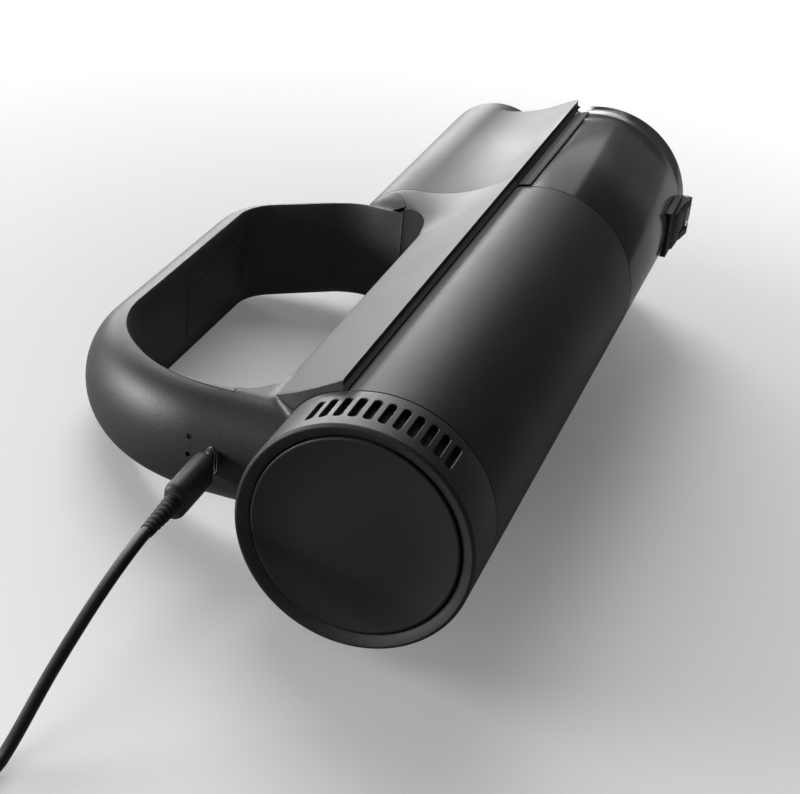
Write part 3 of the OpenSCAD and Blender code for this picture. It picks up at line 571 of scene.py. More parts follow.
class Recipe:
    """The node tree of one material, with short ways to add its nodes."""

    def __init__(self, name: str) -> None:
        """Starts a material with a Principled shader.

        Args:
            name: the material's name.
        """
        self.material = bpy.data.materials.new(name)
        self.material.use_nodes = True
        self.tree = self.material.node_tree
        self.tree.nodes.clear()
        self.shader = self.tree.nodes.new("ShaderNodeBsdfPrincipled")
        output = self.tree.nodes.new("ShaderNodeOutputMaterial")
        self.tree.links.new(self.shader.outputs[0], output.inputs[0])

    def node(self, kind: str, settings: dict, values: dict, output: str | int = 0) -> Sock:
        """Adds any node.

        Args:
            kind: the node's type.
            settings: properties, which are set first.
            values: for each input, by name or number, a number, a colour or a Sock.
            output: which output the result wraps.

        Returns:
            That output.
        """
        made = self.tree.nodes.new(kind)
        for key, value in settings.items():
            setattr(made, key, value)
        self.fill(made, values)
        return Sock(self, made.outputs[output])

    def fill(self, made: bpy.types.Node, values: dict) -> None:
        """Sets or links the inputs of a node.

        Args:
            made: the node.
            values: for each input a number, a colour or a Sock.
        """
        for key, value in values.items():
            if isinstance(value, Sock):
                self.tree.links.new(value.socket, made.inputs[key])
            else:
                made.inputs[key].default_value = value

    def place(self) -> Sock:
        """The object coordinates, in metres."""
        return self.node("ShaderNodeTexCoord", {}, {}, "Object")

    def noise(self, size_mm: float, detail: float, where: Sock | None = None, rough: float = 0.5) -> Sock:
        """Noise from 0 to 1 whose blobs are about size_mm across."""
        values = {"Vector": where or self.place(), "Detail": detail, "Scale": 1 / (size_mm * MM)}
        return self.node("ShaderNodeTexNoise", {}, values | {"Roughness": rough})

    def blend(self, factor: Sock, first: "Sock | tuple", second: "Sock | tuple") -> Sock:
        """A colour between two, by a factor from 0 to 1."""
        return self.node("ShaderNodeMix", {"data_type": "RGBA"}, {0: factor, 6: first, 7: second}, 2)

    def shade(self, factor: Sock, level: float, low: float, high: float,
              tint: Rgb = (1.0, 1.0, 1.0)) -> Sock:
        """A grey that goes from low to high times its level, by a factor from 0 to 1, with a tint."""
        return self.blend(factor, grey(level * low, tint), grey(level * high, tint))

    def bump(self, height: Sock, depth_mm: float) -> Sock:
        """A normal that shows the height as relief of that depth."""
        return self.node("ShaderNodeBump", {}, {"Height": height, "Distance": depth_mm * MM})

    def finish(self, **values: "Sock | float | tuple") -> bpy.types.Material:
        """Fills the shader's sockets, given with _ for spaces, and returns the material."""
        self.fill(self.shader, {key.replace("_", " "): value for key, value in values.items()})
        return self.material


def grey(level: float, tint: Rgb = (1.0, 1.0, 1.0)) -> tuple[float, float, float, float]:
    """A grey at that linear level, with a tint."""
    return (level * tint[0], level * tint[1], level * tint[2], 1.0)


def dress(piece: bpy.types.Object, material: bpy.types.Material) -> None:
    """Gives a piece one material for all its faces."""
    piece.data.materials.clear()
    piece.data.materials.append(material)


@dataclass(frozen=True)
class Moulded:
    """Spark-textured moulded plastic.

    Fields: level, the grey; rough, the roughness; grain and depth, the size and depth of the spark texture
    in millimetres; speckle, how much the grain changes the grey; tint, its colour.
    """

    level: float = 0.02
    rough: float = 0.46
    grain: float = 0.5
    depth: float = 0.08
    speckle: float = 0.4
    tint: Rgb = (1.0, 1.0, 1.02)

    def make(self, name: str) -> bpy.types.Material:
        """Builds the material: two sizes of pits, with a faint cloud of handling marks in the gloss.

        Args:
            name: the material's name.

        Returns:
            The material.
        """
        recipe = Recipe(name)
        pits = recipe.noise(self.grain, 2.0, rough=0.6)
        fine = recipe.noise(self.grain * 0.4, 1.0)
        relief = pits * 0.7 + fine * 0.3
        wear = recipe.noise(38.0, 3.0).clamped(0.35, 0.7)
        dark, light = 1 - self.speckle, 1 + self.speckle
        shade = recipe.shade(pits.clamped(0.3, 0.7), self.level, dark, light, self.tint)
        gloss = self.rough + (wear - 0.5) * 0.05 + (fine - 0.5) * 0.12
        return recipe.finish(Base_Color=shade, Roughness=gloss, Normal=recipe.bump(relief, self.depth))


@dataclass(frozen=True)
class Satin:
    """Smooth satin plastic or lacquer.

    Fields: level, rough and tint as for Moulded; ripple, the depth of its faint waves in millimetres.
    """

    level: float = 0.02
    rough: float = 0.4
    ripple: float = 0.006
    tint: Rgb = (1.0, 1.0, 1.02)

    def make(self, name: str) -> bpy.types.Material:
        """Builds the material: a near flat grey, faint flow waves and a fine haze in the gloss.

        Args:
            name: the material's name.

        Returns:
            The material.
        """
        recipe = Recipe(name)
        flow = recipe.noise(6.0, 2.0)
        haze = recipe.noise(0.35, 2.0)
        return recipe.finish(Base_Color=recipe.shade(haze, self.level, 0.88, 1.12, self.tint),
                             Roughness=self.rough + (haze - 0.5) * 0.1,
                             Normal=recipe.bump(flow * 0.6 + haze * 0.4, self.ripple))


@dataclass(frozen=True)
class Clear:
    """Smoke-tinted clear plastic.

    Fields: level, how light its tint is; rough, how much it blurs; index, its index of refraction.
    """

    level: float
    rough: float = 0.16
    index: float = 1.58

    def make(self, name: str) -> bpy.types.Material:
        """Builds the material: a refracting shell, darker and less smooth where it is scuffed.

        Args:
            name: the material's name.

        Returns:
            The material.
        """
        recipe = Recipe(name)
        scuffs = recipe.noise(9.0, 4.0).clamped(0.52, 0.75)
        return recipe.finish(Base_Color=recipe.shade(scuffs, self.level, 1.0, 0.9),
                             Roughness=self.rough + scuffs * 0.05, Transmission_Weight=1.0, IOR=self.index)


@dataclass(frozen=True)
class Metal:
    """Bare metal. Fields: level, rough and tint as for Moulded."""

    level: float
    rough: float
    tint: Rgb = (1.0, 1.0, 1.0)

    def make(self, name: str) -> bpy.types.Material:
        """Builds the material: fine turned marks in gloss and relief, stretched across the barrel's axis.

        Args:
            name: the material's name.

        Returns:
            The material.
        """
        recipe = Recipe(name)
        where = recipe.node("ShaderNodeMapping", {}, {"Vector": recipe.place(), "Scale": (1.0, 0.15, 1.0)})
        marks = recipe.noise(0.3, 2.0, where)
        return recipe.finish(Base_Color=recipe.shade(marks, self.level, 0.85, 1.05, self.tint), Metallic=1.0,
                             Roughness=self.rough + (marks - 0.5) * 0.15, Normal=recipe.bump(marks, 0.004))


@dataclass(frozen=True)
class Soft:
    """Rubber, foam, felt or cable jacket.

    Fields: level, rough and tint as for Moulded; cell and depth, the size and depth of its surface in
    millimetres; sheen, how much it glows at its edges.
    """

    level: float
    rough: float
    cell: float
    depth: float
    sheen: float = 0.0
    tint: Rgb = (1.0, 1.0, 1.0)

    def make(self, name: str) -> bpy.types.Material:
        """Builds the material: round cells or bloom in colour and relief.

        Args:
            name: the material's name.

        Returns:
            The material.
        """
        recipe = Recipe(name)
        cells = recipe.node("ShaderNodeTexVoronoi", {},
                            {"Vector": recipe.place(), "Scale": 1 / (self.cell * MM)})
        bloom = recipe.noise(5.0, 3.0)
        shade = recipe.shade(cells * 0.6 + bloom * 0.4, self.level, 0.75, 1.3, self.tint)
        return recipe.finish(Base_Color=shade, Roughness=self.rough + (bloom - 0.5) * 0.1,
                             Sheen_Weight=self.sheen, Normal=recipe.bump(cells, self.depth))


@dataclass(frozen=True)
class Board:
    """Circuit board lacquer with tracks under it.

    Fields: lacquer and track, the two greens; pitch, the tracks' in millimetres.
    """

    lacquer: tuple[float, ...] = (0.012, 0.07, 0.03, 1)
    track: tuple[float, ...] = (0.02, 0.13, 0.05, 1)
    pitch: float = 2.0

    def make(self, name: str) -> bpy.types.Material:
        """Builds the material: straight tracks as steps of a cell pattern, greener where the copper lies.

        Args:
            name: the material's name.

        Returns:
            The material.
        """
        recipe = Recipe(name)
        cells = recipe.node("ShaderNodeTexVoronoi", {"distance": "MANHATTAN", "feature": "F1"},
                            {"Vector": recipe.place(), "Scale": 1 / (self.pitch * MM)})
        tracks = cells.clamped(0.35, 0.4)
        shade = recipe.blend(tracks, self.lacquer, self.track)
        return recipe.finish(Base_Color=shade, Roughness=0.3 + tracks * 0.1,
                             Normal=recipe.bump(tracks, 0.03))


@dataclass(frozen=True)
class Wrap:
    """Shrink wrap on a battery cell. Field: its colour."""

    colour: Rgb = (0.03, 0.16, 0.34)

    def make(self, name: str) -> bpy.types.Material:
        """Builds the material: one colour with faint wrinkles round the cell.

        Args:
            name: the material's name.

        Returns:
            The material.
        """
        recipe = Recipe(name)
        wrinkles = recipe.noise(4.0, 3.0)
        return recipe.finish(Base_Color=recipe.shade(wrinkles, 1.0, 0.8, 1.1, self.colour),
                             Roughness=0.25 + wrinkles * 0.1, Normal=recipe.bump(wrinkles, 0.03))


class Finish(Enum):
    """The finishes of the vacuum's pieces."""

    SHELL = Moulded()
    DISC = Satin(level=0.012, rough=0.5, ripple=0.012)
    TRIM = Moulded(level=0.03, rough=0.5, grain=0.35, depth=0.02)
    INNER = Satin(level=0.022, rough=0.45)
    SMOKE = Clear(level=0.32)
    LINING = Moulded(level=0.07, rough=0.5, grain=0.35, depth=0.02)
    STRIP = Satin(level=0.006, rough=0.7)
    STEEL = Metal(level=0.6, rough=0.28)
    PLATED = Metal(level=0.75, rough=0.18)
    CAST = Metal(level=0.5, rough=0.45)
    COPPER = Metal(level=0.7, rough=0.4, tint=(0.95, 0.5, 0.3))
    RUBBER = Soft(level=0.012, rough=0.62, cell=0.3, depth=0.01)
    JACKET = Soft(level=0.013, rough=0.42, cell=0.5, depth=0.008)
    FOAM = Soft(level=0.008, rough=0.9, cell=0.7, depth=0.3, sheen=0.3)
    FELT = Soft(level=0.7, rough=0.9, cell=0.35, depth=0.1, sheen=0.4, tint=(1.0, 1.0, 0.94))
    BOARD = Board()
    WRAP = Wrap()
    LENS = Satin(level=0.012, rough=0.2, ripple=0.002)

    def material(self) -> bpy.types.Material:
        """The finish's material, made once."""
        name = "finish_" + self.name.lower()
        return bpy.data.materials.get(name) or self.value.make(name)


SLOT_FINISHES = {
    "shell_black": Finish.SHELL, "disc_black": Finish.DISC, "trim_black": Finish.TRIM,
    "inner_plastic": Finish.INNER, "smoke": Finish.SMOKE, "rubber": Finish.RUBBER, "foam": Finish.FOAM,
    "media": Finish.FELT, "steel": Finish.STEEL, "motor_metal": Finish.CAST, "copper_iron": Finish.COPPER,
    "cell_wrap": Finish.WRAP, "circuit": Finish.BOARD, "light_lens": Finish.LENS,
    "connector": Finish.PLATED, "black_electronic": Finish.INNER,
}
NODE_SLOTS = {part["node"]: part["material_slot"] for part in frame["record"]["subparts"]}


def settle_in(piece: bpy.types.Object, node: str, finish: Finish | None = None,
              also: Sequence[str] = ()) -> bpy.types.Object:
    """Makes a finished piece stand for a CAD node: it rides on the node's body and takes its slot.

    Args:
        piece: the piece, in the row frame.
        node: the CAD node it stands for.
        finish: a finish other than the slot's own.
        also: further CAD nodes of the same body that it stands for.

    Returns:
        The piece.
    """
    slot = NODE_SLOTS[node]
    dress(piece, (finish or SLOT_FINISHES[slot]).material())
    bodies = frame["record"]["behaviour"]["bodies"]
    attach(piece, next(body for body, nodes in bodies.items() if node in nodes))
    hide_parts(node, *also)
    LOG.info("%s stands for %s: %d faces", piece.name, node, len(piece.data.polygons))
    return piece


# ---------------------------------------------------------------------------------- outlines and cutters


def stadium(width: float, height: float, steps: int = 16) -> np.ndarray:
    """An outline with round ends: width across, height the other way."""
    r, half = height / 2, (width - height) / 2
    return np.concatenate([arc([half, 0], r, -90, 90, steps), arc([-half, 0], r, 90, 270, steps)])


def soft_rectangle(width: float, height: float, radius: float) -> np.ndarray:
    """A rectangle about the origin with round corners."""
    w, h = width / 2, height / 2
    return rounded(np.array([[-w, -h], [w, -h], [w, h], [-w, h]]), [radius] * 4, 8)


def lens_radius(length: float, width: float) -> float:
    """The radius of the two arcs of a pointed oval."""
    return (length**2 + width**2) / (4 * width)


def lens(length: float, width: float, grow: float = 0.0, steps: int = 40) -> np.ndarray:
    """A pointed oval of two arcs with their centres on the first axis and its long axis on the second one.

    Args:
        length: its length between the points.
        width: its width.
        grow: how far the arcs are moved out.
        steps: how many chords each arc gets.

    Returns:
        The outline.
    """
    r = lens_radius(length, width)
    offset = r - width / 2
    r += grow
    half = math.degrees(math.acos(offset / r))
    return np.concatenate([arc([-offset, 0], r, -half, half, steps)[:-1],
                           arc([offset, 0], r, 180 - half, 180 + half, steps)[:-1]])


def stack(name: str, outlines: Sequence[np.ndarray], heights: Sequence[float],
          axis: int = 2) -> bpy.types.Object:
    """A skin through flat outlines of the same number of points, one at each height along an axis.

    Args:
        name: name of the piece.
        outlines: the outlines.
        heights: a height for each.
        axis: 0, 1 or 2, the axis along which they are stacked.

    Returns:
        The piece.
    """
    columns = [c for c in range(3) if c != axis]
    rings = np.zeros((len(outlines), len(outlines[0]), 3))
    rings[:, :, columns] = np.array(outlines)
    rings[:, :, axis] = np.asarray(heights, float)[:, None]
    return skin(name, rings)


def box(name: str, low: Sequence[float], high: Sequence[float]) -> bpy.types.Object:
    """A plain block between two corners, used to cut."""
    (x0, y0, z0), (x1, y1, z1) = low, high
    return prism(name, np.array([[x0, z0], [x1, z0], [x1, z1], [x0, z1]]), 1, y0, y1)


def rod(name: str, radius: float, low: float, high: float, centre: Sequence[float] = (0.0, 0.0),
        steps: int = FINE) -> bpy.types.Object:
    """A round rod along the barrel, with its centre at [side, toward]."""
    return prism(name, arc(centre, radius, 0, 360 - 360 / steps, steps - 1), 0, low, high)


def turn_to(piece: bpy.types.Object, *steps: Matrix) -> bpy.types.Object:
    """Moves a piece's mesh through several matrices, the last first.

    Args:
        piece: the piece.
        steps: the matrices.

    Returns:
        The piece.
    """
    for step in reversed(steps):
        piece.data.transform(step)
    return piece


def shifted(piece: bpy.types.Object, by: Sequence[float]) -> bpy.types.Object:
    """Moves a piece's mesh by a distance on each axis."""
    return turn_to(piece, Matrix.Translation(by))


def remeshed(piece: bpy.types.Object, size: float, rounds: int) -> bpy.types.Object:
    """Makes a closed piece anew from even quads and relaxes it, which turns its creases into soft fillets.

    Args:
        piece: the closed piece.
        size: the width of a quad.
        rounds: how often it is relaxed.

    Returns:
        The piece.
    """
    cells = piece.modifiers.new("cells", "REMESH")
    cells.mode = "VOXEL"
    cells.voxel_size = size
    relax = piece.modifiers.new("relax", "SMOOTH")
    relax.factor = 0.5
    relax.iterations = rounds
    evaluated(piece)
    return piece


def bevelled(piece: bpy.types.Object, width: float, angle: float = 50,
             segments: int = 2) -> bpy.types.Object:
    """Rounds the edges of a piece where its faces meet at more than an angle.

    Args:
        piece: the piece.
        width: the width of the rounding, in the piece's own units.
        angle: the angle in degrees.
        segments: how many faces the rounding gets.

    Returns:
        The piece.
    """
    edge = piece.modifiers.new("edges", "BEVEL")
    edge.width = width
    edge.segments = segments
    edge.limit_method = "ANGLE"
    edge.angle_limit = math.radians(angle)
    evaluated(piece)
    return piece


# ------------------------------------------------------------------------------------------------- pieces


@dataclass
class Stations:
    """Places and sizes that several pieces share, in millimetres.

    Fields: barrel, cup, lid and front are where these shells begin along the barrel, front being the lid's
    face; pipe_end is the pipe's front end and seam the joint of handle and pipe. groove is the width of the
    joints and fit the room round a piece that sits in another. body_r and in_r are the barrel's radii,
    flange its flanges' edge as [side, toward], and half_w and saddle_h the saddle's half width and height.
    pipe_r and pipe_h are the pipe's radius and height, port_h is the charging port's height, and inlet is
    the dust inlet's place along the barrel, its length and its half width.
    """

    barrel: float = 21.5
    cup: float = 199.0
    lid: float = 291.0
    front: float = 303.0
    pipe_end: float = 316.0
    seam: float = 201.2
    groove: float = 0.3
    fit: float = 0.2
    body_r: float = 35.0
    in_r: float = 33.0
    flange: tuple[float, float] = (36.13, 13.3)
    half_w: float = 18.0
    saddle_h: float = 38.9
    pipe_r: float = 23.3
    pipe_h: float = 48.3
    port_h: float = 51.5
    inlet: Point = (206.2, 16.0, 8.0)


AT = Stations()


@dataclass
class RearCap:
    """The slotted ring at the rear with the bare disc in it.

    Fields, in millimetres: disc_r, disc_depth and disc_t are the disc's radius, place and thickness,
    disc_gap is the dark ring round it and ledge_r the radius of the hole behind it. The slot fields are the
    exhaust slots' number on each side, their length, width, pitch and first angle in degrees, and their
    place along the barrel; chamfer is the softened mouth of a slot.
    """

    disc_r: float = 30.5
    disc_depth: float = 1.1
    disc_t: float = 2.0
    disc_gap: float = 0.4
    ledge_r: float = 28.0
    slot_count: int = 11
    slot_len: float = 11.6
    slot_w: float = 2.4
    slot_pitch: float = 7.0
    slot_first: float = 60.8
    slot_x: float = 11.2
    chamfer: float = 0.22

    def slot(self, angle: float) -> bpy.types.Object:
        """A cutter for one slot, straight below and flared at its mouth, turned round the barrel.

        Args:
            angle: degrees from the handle's side.

        Returns:
            The cutter.
        """
        heights = [self.ledge_r, AT.body_r - self.chamfer, AT.body_r + 1]
        wider = [0.0, 0.0, 2 * (1 + self.chamfer)]
        cutter = stack("slot", [stadium(self.slot_len + w, self.slot_w + w) for w in wider], heights)
        return turn_to(cutter, Matrix.Rotation(math.radians(angle), 4, "X"),
                       Matrix.Translation([self.slot_x, 0, 0]))

    def cap(self) -> bpy.types.Object:
        """The ring: a funnel rim, a ledge for the disc, a spigot inside the barrel, and the slots.

        Returns:
            The finished piece.
        """
        r, hole, end = AT.body_r, self.disc_r + self.disc_gap, AT.barrel
        joint = end - AT.groove / 2
        ledge = self.disc_depth + self.disc_t + AT.fit
        spigot = AT.in_r - AT.fit
        rim = [[0.15, r - 1.3], [0.0, r - 0.95], [0.3, r - 0.3], [0.9, r]]
        front = [[joint, r], [joint, spigot], [end + 5.5, spigot], [end + 5.5, spigot - 1.6],
                 [end - 1.5, spigot - 1.6], [end - 2.5, AT.in_r]]
        seat = [[ledge + 1.4, AT.in_r], [ledge + 1.4, self.ledge_r], [ledge, self.ledge_r], [ledge, hole],
                [self.disc_depth + 0.7, hole]]
        piece = revolved("rear_cap_shown", softened(rim + front + seat, 0.3))
        cutters = [self.slot(-side * (self.slot_first + self.slot_pitch * k))
                   for side in (-1, 1) for k in range(self.slot_count)]
        return settle_in(settle(combine(piece, cutters, "DIFFERENCE")), "rear_cap")

    def disc(self) -> bpy.types.Object:
        """The disc, with a fine raised edge, left bare.

        Returns:
            The finished piece.
        """
        x, r = self.disc_depth, self.disc_r
        face = [[x + 0.06, 0.0], [x + 0.02, r * 0.5], [x + 0.05, r - 1.25]]
        edge = [[x - 0.1, r - 1.0], [x - 0.15, r - 0.6], [x - 0.08, r - 0.22], [x + 0.15, r]]
        back = [[x + self.disc_t, r], [x + self.disc_t, 0.0]]
        piece = revolved("rear_disc_shown", np.array(face + edge + back))
        return settle_in(settle(piece, WIDE_CREASE), "rear_disc")

    def build(self) -> None:
        """Makes both pieces."""
        self.cap()
        self.disc()


@dataclass
class Barrel:
    """The barrel casing: a tube with softened ends. Field: soft, their rounding in millimetres."""

    soft: float = 0.25

    def build(self) -> bpy.types.Object:
        """Makes the tube.

        Returns:
            The finished piece.
        """
        x0, x1 = AT.barrel + AT.groove / 2, AT.cup - AT.groove / 2
        outline = softened([[x0, AT.in_r], [x0, AT.body_r], [x1, AT.body_r], [x1, AT.in_r]], self.soft)
        return settle_in(settle(revolved("barrel_shell_shown", outline)), "barrel_shell")


@dataclass
class Section:
    """Half sections of saddle and pipe, from below the flange's edge to the middle line, as [side, toward].

    Fields: below is how far under that edge they start, and steps how many points each stretch gets.
    """

    below: float = 6.0
    steps: int = 40

    def saddle(self) -> np.ndarray:
        """A straight flank from the flange up to the saddle's flat top.

        The flank is (1 - u) flange + u corner; it starts below the flange edge, where it is trimmed later.

        Returns:
            The half section's points.
        """
        u = np.linspace(-self.below / (AT.saddle_h - AT.flange[1]), 1, self.steps, endpoint=False)[:, None]
        flank = (1 - u) * np.array(AT.flange) + u * np.array([AT.half_w, AT.saddle_h])
        top = np.linspace(AT.half_w, 0, self.steps + 1)
        return np.concatenate([flank, np.stack([top, np.full_like(top, AT.saddle_h)], -1)])

    def pipe(self) -> np.ndarray:
        """A hollow flank that runs into the round pipe.

        The flank is side = r + (f - r)(1 - u)^2 and toward = g + (h - g) u, for the flange's edge [f, g],
        the pipe's radius r and its centre's height h.

        Returns:
            The half section's points.
        """
        f, g = AT.flange
        u = np.linspace(-self.below / (AT.pipe_h - g), 1, self.steps, endpoint=False)
        flank = np.stack([AT.pipe_r + (f - AT.pipe_r) * (1 - u)**2, g + (AT.pipe_h - g) * u], -1)
        return np.concatenate([flank, arc([0, AT.pipe_h], AT.pipe_r, 0, 90, self.steps)])

    @staticmethod
    def whole(half: np.ndarray) -> np.ndarray:
        """The full section: the half, its mirror image and a flat foot."""
        return np.concatenate([half, half[-2::-1] * [-1, 1]])


@dataclass
class Release:
    """The pointed release buttons where handle and pipe meet.

    Fields, in millimetres and degrees: length and width of the pointed oval; turn, its angle round the pipe;
    slant, its turn on the pipe's face; depth, how far it reaches in; gap, the well's room round it; end, the
    place along the barrel, within the handle's lining, where the well stops; spare, how much before that the
    button stops; ahead, how far it keeps from the seam.
    """

    length: float = 19.0
    width: float = 8.0
    turn: float = 63.0
    slant: float = 33.0
    depth: float = 4.5
    gap: float = 0.2
    end: float = 190.1
    spare: float = 0.02
    ahead: float = 0.65

    @property
    def along(self) -> float:
        """The button's centre: its forward end just clears the seam."""
        r = lens_radius(self.length, self.width)
        return AT.seam - self.ahead - (r - (r - self.width / 2) * math.cos(math.radians(self.slant)))

    def placed(self, piece: bpy.types.Object, side: int) -> bpy.types.Object:
        """Puts a piece made round the origin on that side of the pipe.

        Args:
            piece: the piece.
            side: -1 for the left side, 1 for the right one.

        Returns:
            The piece.
        """
        return turn_to(piece, Matrix.Translation([self.along, 0, AT.pipe_h]),
                       Matrix.Rotation(math.radians(-side * self.turn), 4, "X"),
                       Matrix.Rotation(math.radians(side * self.slant), 4, "Z"))

    @staticmethod
    def slab(start: float, end: float) -> bpy.types.Object:
        """A cutter for all that lies between two places along the barrel."""
        return box("slab", (start, -REACH, 0), (end, REACH, 120))

    def well(self, side: int) -> bpy.types.Object:
        """A cutter for the button's well, which stops within the handle's lining.

        Args:
            side: -1 for the left side, 1 for the right one.

        Returns:
            The cutter.
        """
        outlines = [lens(self.length, self.width, self.gap)] * 2
        piece = self.placed(stack("well", outlines, [AT.pipe_r - 6, AT.pipe_r + 20]), side)
        return combine(piece, [self.slab(100, self.end)], "DIFFERENCE")

    def button(self, side: int, around: bpy.types.Object) -> bpy.types.Object:
        """The button: a pointed oval whose face lies flush in the moulding around it.

        Args:
            side: -1 for the left one, 1 for the right one.
            around: the moulding, which isn't changed.

        Returns:
            The button.
        """
        node = "release_button_left" if side < 0 else "release_button_right"
        heights = [AT.pipe_r - self.depth, AT.pipe_r + 6]
        piece = self.placed(stack(node + "_shown", [lens(self.length, self.width)] * 2, heights), side)
        combine(piece, [linked("mould", around.data.copy())], "INTERSECT")
        seam = AT.seam - AT.groove / 2 - self.gap
        combine(piece, [self.slab(100, self.end + self.spare), self.slab(seam, AT.seam + 20)], "DIFFERENCE")
        return settle_in(settle(piece), node)


@dataclass
class Handle:
    """The loop handle with saddle and flare, its lining and what sits in it.

    The moulding is joined from a band, a saddle and a flare, relaxed so that they run into each other in
    soft fillets, and then cut where the real one has crisp edges.

    Fields, in millimetres: corners and radii give the loop's opening as [along, toward]. rear_leg, front_leg
    and grip are the thicknesses round it, and liner is the lining's. foot is the height of its ends, and
    sunk how far the legs run into the saddle. wing and wing_bow are the ends and the bow of the saddle's
    swept rear edge, and feet are the blocks in the loop's lower corners as (start, end, top). crown is
    (depth, height, flat half width) of the loop's crowned inner face, and fade the heights between which the
    crown grows. flare is the flare's length, and lip the points of the flange's lip from its edge. trigger
    is (start, end, half width), port (length, width), and lights (height, pitch, radius). cell is the width
    of the moulding's quads, and relaxed how often they are relaxed.
    """

    corners: np.ndarray = field(default_factory=lambda: np.array(
        [[34.6, AT.saddle_h], [35.9, 74.2], [61.3, 99.8],
         [167.3, 99.8], [189.7, 68.3], [189.7, AT.saddle_h]]))
    radii: tuple[float, ...] = (16, 45, 38, 16, 22, 13)
    rear_leg: float = 13.0
    front_leg: float = 11.35
    grip: float = 14.0
    liner: float = 1.6
    foot: float = 49.9
    sunk: float = 12.0
    wing: tuple[tuple[float, float], ...] = ((21.7, AT.flange[1]), (36.9, AT.saddle_h))
    wing_bow: float = 1.5
    feet: tuple[Point, ...] = ((34.1, 51.1, 54.9), (176.2, 190.2, 51.9))
    crown: Point = (2.6, 0.7, 4.0)
    fade: tuple[float, float] = (52.0, 74.0)
    flare: float = 30.0
    lip: tuple[tuple[float, float], ...] = ((0.0, 0.0), (-1.7, -0.22), (-2.4, -1.6))
    trigger: Point = (110.0, 159.0, 10.0)
    port: tuple[float, float] = (9.4, 3.8)
    lights: Point = (59.2, 5.7, 0.85)
    cell: float = 0.9
    relaxed: int = 8
    release: Release = field(default_factory=Release)

    @property
    def root(self) -> float:
        """The height of the legs' lower ends, inside the saddle."""
        return AT.saddle_h - self.sunk

    @property
    def grip_inner(self) -> float:
        """How far the grip's inner face lies from the barrel's axis."""
        return float(self.corners[2][1])

    def band(self) -> bpy.types.Object:
        """The band round the loop: an elliptic arch outside, flat inside, swept along its outer outline.

        Ring point k is q + n t (1 - cos a) across, w sin a sideways, with a from -90 to 90 degrees, n the
        unit vector inwards, t the grip's thickness and w half its width.

        Returns:
            The band, to be joined with the rest.
        """
        corners = moved(self.corners, [self.rear_leg, self.grip, self.grip, self.grip, self.front_leg, 0])
        corners[0][1] = corners[5][1] = self.root
        frames = [corner_arc(corners, i, self.radii[i] + self.grip, 28) for i in range(1, 5)]
        path = np.concatenate([corners[:1], *(f[0] for f in frames), corners[5:]])
        inward = np.concatenate([frames[0][1][:1], *(f[1] for f in frames), frames[-1][1][-1:]])
        a = np.radians(np.linspace(-90, 90, 49))
        depth = np.concatenate([self.grip * (1 - np.cos(a)), [self.grip + 2] * 2])
        aside = np.concatenate([AT.half_w * np.sin(a), [AT.half_w, -AT.half_w]])
        flat = path[:, None] + inward[:, None] * depth[None, :, None]
        rings = np.stack([flat[..., 0], np.broadcast_to(aside, flat.shape[:2]), flat[..., 1]], -1)
        return skin("band", rings)

    def saddle(self, spare: float = 0.8) -> bpy.types.Object:
        """The saddle on the barrel, with its raked rear end left a little long.

        Args:
            spare: how much longer it is left.

        Returns:
            The saddle, to be joined with the rest.
        """
        start, end = self.wing[0][0] - 7, AT.seam - self.flare + 0.5
        piece = prism("saddle", Section.whole(Section().saddle()), 0, start, end)
        return combine(piece, [self.wing_cut(spare, 80)], "DIFFERENCE")

    def wing_cut(self, spare: float, aside: float, near: float = -80.0) -> bpy.types.Object:
        """A cutter for the saddle's swept rear end.

        Args:
            spare: how much longer it leaves the saddle.
            aside: how far it reaches to one side.
            near: where it starts on the other.

        Returns:
            The cutter.
        """
        edge = bowed(*self.wing, self.wing_bow) - [spare, 0]
        beyond = edge[-1] + 30 * unit(edge[-1] - edge[-2])
        outline = np.concatenate([[[0, 0], [edge[0, 0] - 0.5, 0]], edge, [beyond, [0, beyond[1]]]])
        return prism("wing", outline, 1, near, aside)

    def foot_blocks(self) -> list[bpy.types.Object]:
        """Blocks in the loop's lower corners, which the opening then rounds."""
        return [box("foot", (x0, -AT.half_w, self.root), (x1, AT.half_w, top)) for x0, x1, top in self.feet]

    def flaring(self) -> bpy.types.Object:
        """The flare from saddle to pipe: sections mixed by s = u^2 (3 - 2 u) along it, long at the seam.

        Returns:
            The flare, to be joined with the rest.
        """
        u = np.linspace(0, 1, 36)
        s = (u * u * (3 - 2 * u))[:, None, None]
        shape = Section()
        a, b = shape.whole(shape.saddle()), shape.whole(shape.pipe())
        along = AT.seam - self.flare + self.flare * u
        rings = np.empty((len(u) + 1, len(a), 3))
        rings[:-1, :, 1:] = (1 - s) * a + s * b
        rings[-1, :, 1:] = b
        rings[:, :, 0] = np.append(along, AT.seam + 4)[:, None]
        return skin("flare", rings)

    def under(self) -> bpy.types.Object:
        """A cutter for everything below the flange's edge and lip.

        Returns:
            The cutter.
        """
        aside, level, deep = 90, AT.flange[1], -60
        right = [np.array(AT.flange) + p for p in np.array(self.lip)]
        left = [[-y, z] for y, z in right[::-1]]
        outline = [[aside, level], *right, *left, [-aside, level], [-aside, deep], [aside, deep]]
        return prism("under", np.array(outline), 0, 0, AT.pipe_end + 10)

    def lower(self, height: float) -> bpy.types.Object:
        """A cutter for everything below a height."""
        return box("low", (0, -REACH, -10), (FAR, REACH, height))

    def liner_outline(self, less: float = 0.0) -> np.ndarray:
        """The lining's outer outline, or one that lies a little inside it.

        Args:
            less: how far it lies inside.

        Returns:
            The outline as [along, toward].
        """
        end_radius = 4.0
        corners = moved(self.corners, [self.liner - less] * 5 + [0])
        return rounded(corners, [end_radius, *(r + self.liner for r in self.radii[1:5]), end_radius])

